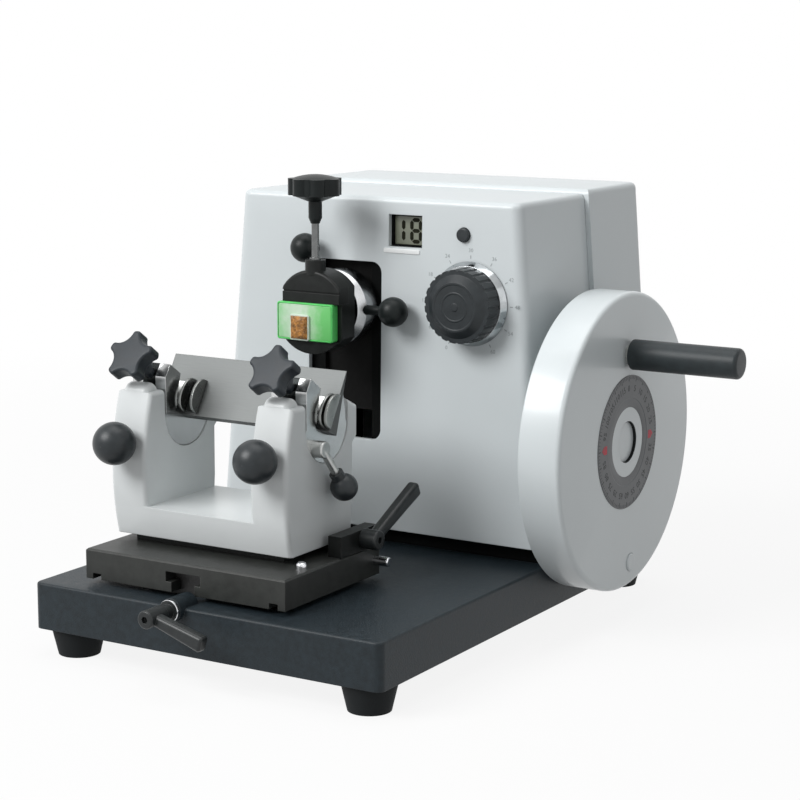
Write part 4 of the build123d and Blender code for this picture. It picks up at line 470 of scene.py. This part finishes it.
one, eight = digit("bc", -7.4, 5.6), digit("abcdefg", 4.4, 6.2)
glass = rounded(display_w - 2 * GLASS_MARGIN, display_h - 2 * GLASS_MARGIN, GLASS_CORNER)
piece("display_glass", plate(glass, GLASS_BACK, GLASS_FACE, on_display), "machine", "lcd", bevel=0.15)
piece("display_digits", gathered([plate(bar, GLASS_FACE, GLASS_FACE + PRINT, on_display) for bar in one + eight]),
      "machine", "ink")

# Thickness dial: raised rings on the knob's cap

RIDGE, GROOVE = 0.4, 0.1                 # heights over the knob's face
dial_low, _ = corners("dial_knob")
dial = middle("dial_knob")
dial.y = dial_low.y
cap_profile = [(15.3, 0), (15.0, RIDGE), (13.9, RIDGE), (13.5, GROOVE), (9.2, GROOVE), (8.9, RIDGE), (8.2, RIDGE),
               (7.9, GROOVE), (2.6, GROOVE), (2.3, 0.5), (0, 0.6)]
piece("dial_cap_rings", turned(cap_profile, dial, (0, -1, 0)), "dial", "knob")

# The casing's leaning front: a lip under the display that catches the light and is painted brighter than the casing as
# a painted highlight on the window's lower edge, and the dial's printed scale

CASING_LEAN = 2.7                        # how far the front's top edge lies behind its foot
LIP_WIDTH, LIP_HEIGHT, LIP_CORNER = 26.0, 3.0, 0.9
LIP_BACK, LIP_FACE = -0.1, 0.55          # out of the casing's front
LIP_LEFT, LIP_RISE = 2.5, 0.5            # from the display's middle, and from the foot of its housing
shell_low, shell_high = corners("front_shell")


def casing_front(z):
    return shell_low.y + CASING_LEAN * MM * (z - shell_low.z) / (shell_high.z - shell_low.z)


def on_casing(x, z):
    """Maps (a, b, t) to the front round the spot (x, z): a to the right, b up, and t out of it."""
    return lambda a, b, t: Vector((x + a * MM, casing_front(z + b * MM) - t * MM, z + b * MM))


on_lip = on_casing(display.x - LIP_LEFT * MM, display_low.z + LIP_RISE * MM)
piece("display_lip_highlight", plate(rounded(LIP_WIDTH, LIP_HEIGHT, LIP_CORNER), LIP_BACK, LIP_FACE, on_lip), "machine", "lip",
      bevel=0.3)

DIAL_REACH, DIAL_STEP = 150, 30          # degrees from the top to the last number, and from one number to the next
TICK_RADIUS, TICK_LENGTH, TICK_WIDTH = 28.6, 2.0, 0.5
NUMBER_RADIUS, NUMBER_SIZE, NUMBER_STEP = 32.6, 3.4, 6


def round_dial(radius, angle):
    return on_casing(dial.x + radius * MM * cos(angle), dial.z + radius * MM * sin(angle))


def dial_tick(angle):
    c, s = cos(angle), sin(angle)
    bar = [(a * TICK_LENGTH / 2, b * TICK_WIDTH / 2) for a, b in ((-1, -1), (1, -1), (1, 1), (-1, 1))]
    return plate([(a * c - b * s, a * s + b * c) for a, b in bar], 0, PRINT, round_dial(TICK_RADIUS, angle))


dial_angles = [radians(90 - turn) for turn in range(-DIAL_REACH, DIAL_REACH + 1, DIAL_STEP)]
numbers = [words(str(i * NUMBER_STEP), NUMBER_SIZE, PRINT, round_dial(NUMBER_RADIUS, angle))
           for i, angle in enumerate(dial_angles)]
piece("dial_marks", gathered([dial_tick(angle) for angle in dial_angles] + numbers), "machine", "faint")

# Graduated ring on the handwheel: two bands, fine ticks, numbers and two red pointers

RING_BORE, BAND_EDGE, RING_CHAMFER, BAND_STEP = 21.7, 27.5, 0.3, 0.2
ring_low, ring_high = corners("dial_ring")
ring = middle("dial_ring")
ring.x = ring_low.x
ring_radius, ring_thick = (ring_high.y - ring_low.y) / 2 / MM, (ring_high.x - ring_low.x) / MM
ring_profile = [
    (RING_BORE, 0), (RING_BORE, ring_thick - RING_CHAMFER),
    (RING_BORE + RING_CHAMFER, ring_thick - BAND_STEP), (BAND_EDGE - RING_CHAMFER, ring_thick - BAND_STEP),
    (BAND_EDGE, ring_thick), (ring_radius - RING_CHAMFER, ring_thick),
    (ring_radius, ring_thick - RING_CHAMFER), (ring_radius, 0), (RING_BORE, 0),
]
piece("graduated_ring", turned(ring_profile, ring, (1, 0, 0), steps=180), "drive", "ring",
      replaces=("dial_ring",))

SCALE_STEPS, NUMBERED = 120, 5           # ticks round the ring, and ticks from one number to the next
LONG_TICK, SHORT_TICK = (3.0, 0.7), (1.8, 0.4)
SCALE_MARGIN = 0.7
SCALE_NUMBER_RADIUS, SCALE_NUMBER_SIZE = 33.4, 5.6
POINTER_RADIUS = 32.6
POINTER = [(-2.6, -3.2), (2.6, -3.2), (2.6, 0.6), (0, 3.6), (-2.6, 0.6)]


def on_ring(radius, angle):
    """Maps (a, b, t) to the ring's face at a radius and an angle from the front: b outwards, t out of the face."""
    up, right, out = Vector((0, cos(angle), sin(angle))), Vector((0, sin(angle), -cos(angle))), Vector((1, 0, 0))
    spot = ring + up * radius * MM
    return lambda a, b, t: spot + (right * a + up * b + out * (ring_thick + t)) * MM


def ring_tick(angle, length, width):
    bar = [(-width / 2, -length), (width / 2, -length), (width / 2, 0), (-width / 2, 0)]
    return plate(bar, 0, FINE_PRINT, on_ring(ring_radius - SCALE_MARGIN, angle))


scale = [ring_tick(2 * pi * i / SCALE_STEPS, *(SHORT_TICK if i % NUMBERED else LONG_TICK)) for i in range(SCALE_STEPS)]
number_count = SCALE_STEPS // NUMBERED
for i in range(number_count):
    if i % (number_count // 2):          # the pointers take the other two places
        label = str((number_count // 4 - i) % number_count * NUMBERED)
        at = on_ring(SCALE_NUMBER_RADIUS, 2 * pi * i / number_count)
        scale.append(words(label, SCALE_NUMBER_SIZE, FINE_PRINT, at))
piece("ring_scale", gathered(scale), "drive", "mark")
piece("ring_pointers", gathered([plate(POINTER, 0, PRINT, on_ring(POINTER_RADIUS, angle)) for angle in (0, pi)]),
      "drive", "red")

# A dark ring round the hub cap, in the handwheel's recess: painted shade on the recess wall

SHADE_RING_WIDTH, SHADE_RING_OVERLAP, SHADE_RING_FOOT, SHADE_RING_HEIGHT = 0.6, 0.2, 0.05, 1.9
SHADE_RING_SLOPE, SHADE_RING_DROP = 0.3, 0.2         # width and height of the slope on its inner edge
cap_low, cap_high = corners("hub_cap")
hub = middle("hub_cap")
hub.x = cap_high.x
shade_ring_out = (cap_high.y - cap_low.y) / 2 / MM + SHADE_RING_OVERLAP
shade_ring_in = shade_ring_out - SHADE_RING_WIDTH
shade_ring_profile = [(shade_ring_in, SHADE_RING_FOOT), (shade_ring_in, SHADE_RING_HEIGHT - SHADE_RING_DROP), (shade_ring_in + SHADE_RING_SLOPE, SHADE_RING_HEIGHT),
                (shade_ring_out, SHADE_RING_HEIGHT), (shade_ring_out, SHADE_RING_FOOT), (shade_ring_in, SHADE_RING_FOOT)]
piece("hub_shade_ring", turned(shade_ring_profile, hub, (1, 0, 0), steps=128), "drive", "rubber")

# Cassette: a rimmed green tray with a layer of wax, and the stained block on its wax foot

TRAY_LEVELS = [                          # how much narrower than the tray, corner radius, and depth from its mouth
    (0.0, 1.6, 0.6), (1.0, 1.3, 0.0), (1.8, 1.2, 0.0), (2.4, 1.0, 1.2),
]
WAX_NARROWER, WAX_CORNER, WAX_FACE, WAX_BACK = 2.0, 1.3, 0.15, 1.3
FOOT_WIDER, FOOT_CORNER, FOOT_FACE, FOOT_BACK = 2.2, 1.5, -1.3, 0.4
BLOCK_COLUMNS, BLOCK_ROWS = 15, 17
BLOCK_UNEVEN, BLOCK_BACK = 0.25, 0.3
RIM_FALL, RIM_POWER = 1.1, 10            # how far the block's face falls off at its rim, and how late it starts to
tray_w, tray_deep, tray_h = (tray_high - tray_low) / MM
block_low, block_high = corners("tissue_block")
block_w, block_deep, block_h = (block_high - block_low) / MM


def in_tray(spot):
    """Maps (a, b, t) to a place in the tray: a to the right, b up, and t into the tray from its mouth."""
    mouth = Vector((spot.x, tray_low.y, spot.z))
    return lambda a, b, t: mouth + Vector((a, t, b)) * MM


on_tray, on_block = in_tray(middle("cassette")), in_tray(middle("tissue_block"))


def tray_form():
    """Outer wall, rim, sloped inner wall and floor, as one closed form."""
    levels = [(*TRAY_LEVELS[0][:2], tray_deep), *TRAY_LEVELS]
    verts = [on_tray(a, b, depth) for narrower, corner, depth in levels
             for a, b in rounded(tray_w - narrower, tray_h - narrower, corner)]
    n, last = len(verts) // len(levels), len(levels) - 1
    faces = [(k * n + i, k * n + (i + 1) % n, (k + 1) * n + (i + 1) % n, (k + 1) * n + i)
             for k in range(last) for i in range(n)]
    faces += [tuple(range(last * n, last * n + n)), tuple(range(n))[::-1]]
    return verts, faces


def wavy(i, k):
    return 0.5 * sin(1.9 * i + 0.7 * k) + 0.3 * sin(0.83 * i - 1.7 * k + 1.2) + 0.2 * sin(3.1 * k + 0.4 * i)


def block_form():
    """The trimmed block: an uneven cut face that falls off at its rim, and sides down into the wax."""
    cols, rows = BLOCK_COLUMNS, BLOCK_ROWS
    verts = []
    for k in range(rows):
        for i in range(cols):
            a, b = 2 * i / (cols - 1) - 1, 2 * k / (rows - 1) - 1
            sunk = BLOCK_UNEVEN * (1 + wavy(i, k)) + RIM_FALL * max(abs(a), abs(b)) ** RIM_POWER
            verts.append(on_block(a * block_w / 2, b * block_h / 2, sunk - block_deep))
    faces = [(n, n + 1, n + cols + 1, n + cols) for k in range(rows - 1) for n in range(k * cols, (k + 1) * cols - 1)]
    border = list(range(cols)) + [k * cols + cols - 1 for k in range(1, rows)]
    border += [(rows - 1) * cols + i for i in range(cols - 2, -1, -1)] + [k * cols for k in range(rows - 2, 0, -1)]
    base, count = len(verts), len(border)
    verts += [Vector((verts[n].x, tray_low.y + BLOCK_BACK * MM, verts[n].z)) for n in border]
    faces += [(border[i], border[(i + 1) % count], base + (i + 1) % count, base + i) for i in range(count)]
    faces.append(tuple(range(base, base + count)))
    return verts, faces


piece("cassette_tray", tray_form(), "head", "green", replaces=("cassette",))
wax = rounded(tray_w - WAX_NARROWER, tray_h - WAX_NARROWER, WAX_CORNER)
piece("paraffin_layer", plate(wax, WAX_FACE, WAX_BACK, on_tray), "head", "wax", bevel=0.5)
piece("tissue_face", block_form(), "head", "tissue", replaces=("tissue_block",))
foot = rounded(block_w + FOOT_WIDER, block_h + FOOT_WIDER, FOOT_CORNER)
piece("paraffin_foot", plate(foot, FOOT_FACE, FOOT_BACK, on_block), "head", "paraffin", bevel=0.6)

# Clamp shoes: a pad on the knife beside each rocker, with two arched fins that stiffen it

KNIFE_LEAN = radians(24)
KNIFE_DEPTH = 38.0                       # from the knife's edge to its back
EDGE_HALF, KNIFE_TAPER = 0.2, 4.3        # half the knife's thickness at its edge, and what it gains towards the back
EDGE_AHEAD = 0.18                        # from the rear of the edge's flat to its middle
SHOE_GAP = 0.35
SHOE_TOP, SHOE_FOOT = 15.0, 36.5         # how far below the knife's edge a fin starts and ends
PAD_TOP, PAD_FOOT, PAD_THICK, PAD_SIDE = SHOE_TOP + 2, SHOE_FOOT - 1, 1.4, 1.8
FIN_THICK, FIN_RISE, FIN_POWER, FIN_STEPS = 1.7, 9.5, 0.8, 12
_, knife_high = corners("knife_blade")
knife_edge = Vector((0, knife_high.y - EDGE_AHEAD * MM, knife_high.z))
down_knife = Vector((0, -sin(KNIFE_LEAN), -cos(KNIFE_LEAN)))
ahead_of_knife = Vector((0, -cos(KNIFE_LEAN), sin(KNIFE_LEAN)))


def by_knife(down, ahead, x):
    """A place by the knife: down from its edge, ahead of its middle plane, and at x."""
    return knife_edge + (down_knife * down + ahead_of_knife * ahead + Vector((x, 0, 0))) * MM


def knife_face(down):
    return EDGE_HALF + KNIFE_TAPER * down / KNIFE_DEPTH + SHOE_GAP


def clamp_shoe(name, start, end):
    """A shoe from x = start to end, with a fin at each end."""
    strip = [(down, knife_face(down) + rise) for down, rise in
             ((PAD_TOP, 0), (PAD_FOOT, 0), (PAD_FOOT, PAD_THICK), (PAD_TOP, PAD_THICK))]
    piece(name + "_pad", plate(strip, start + PAD_SIDE, end - PAD_SIDE, by_knife), "rocker", "black",
          bevel=0.3)
    arch = [(SHOE_TOP, knife_face(SHOE_TOP)), (SHOE_FOOT, knife_face(SHOE_FOOT))]
    for i in range(1, FIN_STEPS):
        a = pi * i / FIN_STEPS
        down = (SHOE_TOP + SHOE_FOOT) / 2 + (SHOE_FOOT - SHOE_TOP) / 2 * cos(a)
        arch.append((down, knife_face(down) + FIN_RISE * sin(a) ** FIN_POWER))
    fins = [plate(arch, x, x + FIN_THICK, by_knife) for x in (start, end - FIN_THICK)]
    piece(name, gathered(fins), "rocker", "shoe", bevel=0.3)


clamp_shoe("left_clamp_shoe", -109.1, -99.0)
clamp_shoe("right_clamp_shoe", -8.6, -3.2)

# Bright washer behind the front lever's hub

WASHER_BACK = -166.2                     # y of its back
lever = next(Vector(joint["pos_m"]) for joint in frame["joints"] if joint["name"] == "front_lever_turn")
lever.y = WASHER_BACK * MM
washer_profile = [(3.4, 0), (3.4, 2.1), (6.0, 2.1), (6.5, 1.6), (6.5, 0.4), (6.1, 0), (3.4, 0)]
piece("lever_ring", turned(washer_profile, lever, (0, -1, 0), steps=64), "front_lever", "chrome")


# Stage: a white floor and world, brighter to the camera, mirrors and glass than as light on the object

WHITE = (1, 1, 1, 1)
FLOOR_SIZE = 30
FLOOR_SEEN, FLOOR_LIT = (0.8,) * 3, (0.4,) * 3     # the floor's paint as it is seen, and as it lights the object
FLOOR_FADE = ((0.3, 1.2), (0.88, 1.0))             # metres from the middle, and how far the floor is plain white there
WORLD_LIT, WORLD_SEEN = 0.3, 1.0


def seen(tree):
    """1 for what the camera, mirrors and glass see, and 0 for light on the object."""
    rays = add(tree, "ShaderNodeLightPath").outputs
    either = maths(tree, "MAXIMUM", rays["Is Camera Ray"], rays["Is Glossy Ray"])
    return maths(tree, "MAXIMUM", either, rays["Is Transmission Ray"])


def mixed(tree, share, first, second):
    return add(tree, "ShaderNodeMixShader", {0: share, 1: first, 2: second}).outputs[0]


def floor_paint():
    material = bpy.data.materials.new("studio_white")
    material.use_nodes = True
    tree = material.node_tree
    tree.nodes.clear()
    looked_at = seen(tree)
    paint = laid_over(tree, opaque(FLOOR_LIT), opaque(FLOOR_SEEN), looked_at)
    flat = add(tree, "ShaderNodeBsdfDiffuse", {"Color": paint}).outputs[0]
    glow = add(tree, "ShaderNodeEmission", {"Color": WHITE}).outputs[0]
    place = add(tree, "ShaderNodeTexCoord").outputs["Object"]
    reach = add(tree, "ShaderNodeVectorMath", {0: place}, operation="LENGTH").outputs["Value"]
    share = maths(tree, "MULTIPLY", looked_at, ranged(tree, reach, *FLOOR_FADE))
    add(tree, "ShaderNodeOutputMaterial", {"Surface": mixed(tree, share, flat, glow)})
    return material


bpy.ops.mesh.primitive_plane_add(size=FLOOR_SIZE, location=(0, 0, 0))
floor = bpy.context.object
floor.name = "floor"
floor.data.materials.append(floor_paint())

world = bpy.data.worlds.new("studio")
bpy.context.scene.world = world
world.use_nodes = True
sky = world.node_tree
sky.nodes.clear()
soft, bright = (add(sky, "ShaderNodeBackground", {"Color": WHITE, "Strength": strength}).outputs[0]
                for strength in (WORLD_LIT, WORLD_SEEN))
add(sky, "ShaderNodeOutputWorld", {"Surface": mixed(sky, seen(sky), soft, bright)})


# Light

def lamp(name, place, aim, size, power):
    data = bpy.data.lights.new(name, "AREA")
    data.shape = "RECTANGLE"
    data.size, data.size_y = size
    data.energy = power
    obj = bpy.data.objects.new(name, data)
    bpy.context.collection.objects.link(obj)
    obj.location = place
    obj.rotation_euler = (Vector(aim) - Vector(place)).to_track_quat("-Z", "Y").to_euler()


lamp("key", (-0.9, -1.6, 1.5), aim=(0, 0, 0.12), size=(1.2, 1.0), power=42)
lamp("fill", (1.9, -0.6, 0.9), aim=(0, 0, 0.12), size=(1.2, 1.2), power=1.9)
lamp("above", (0.0, 0.0, 2.0), aim=(0, 0, 0.1), size=(1.6, 1.2), power=12)

# Camera, solved from the photo's straight edges and the handwheel's circle

AZIMUTH, ELEVATION, ROLL = radians(31.174), radians(10.187), radians(0.154)
TARGET = Vector((-26.14, 28.69, 138.8)) * MM
DISTANCE = 1.34264
LENS, SENSOR, CLIP_END = 96.241, 36.0, 50
camera_data = bpy.data.cameras.new("camera")
camera_data.lens, camera_data.sensor_width, camera_data.clip_end = LENS, SENSOR, CLIP_END
camera = bpy.data.objects.new("camera", camera_data)
bpy.context.collection.objects.link(camera)
away = Vector((sin(AZIMUTH) * cos(ELEVATION), -cos(AZIMUTH) * cos(ELEVATION), sin(ELEVATION)))
camera.location = TARGET + away * DISTANCE
aimed = (-away).to_track_quat("-Z", "Y").to_matrix() @ Matrix.Rotation(ROLL, 3, "Z")
camera.rotation_euler = aimed.to_euler()
bpy.context.scene.camera = camera
bpy.context.scene.view_settings.view_transform = "Standard"
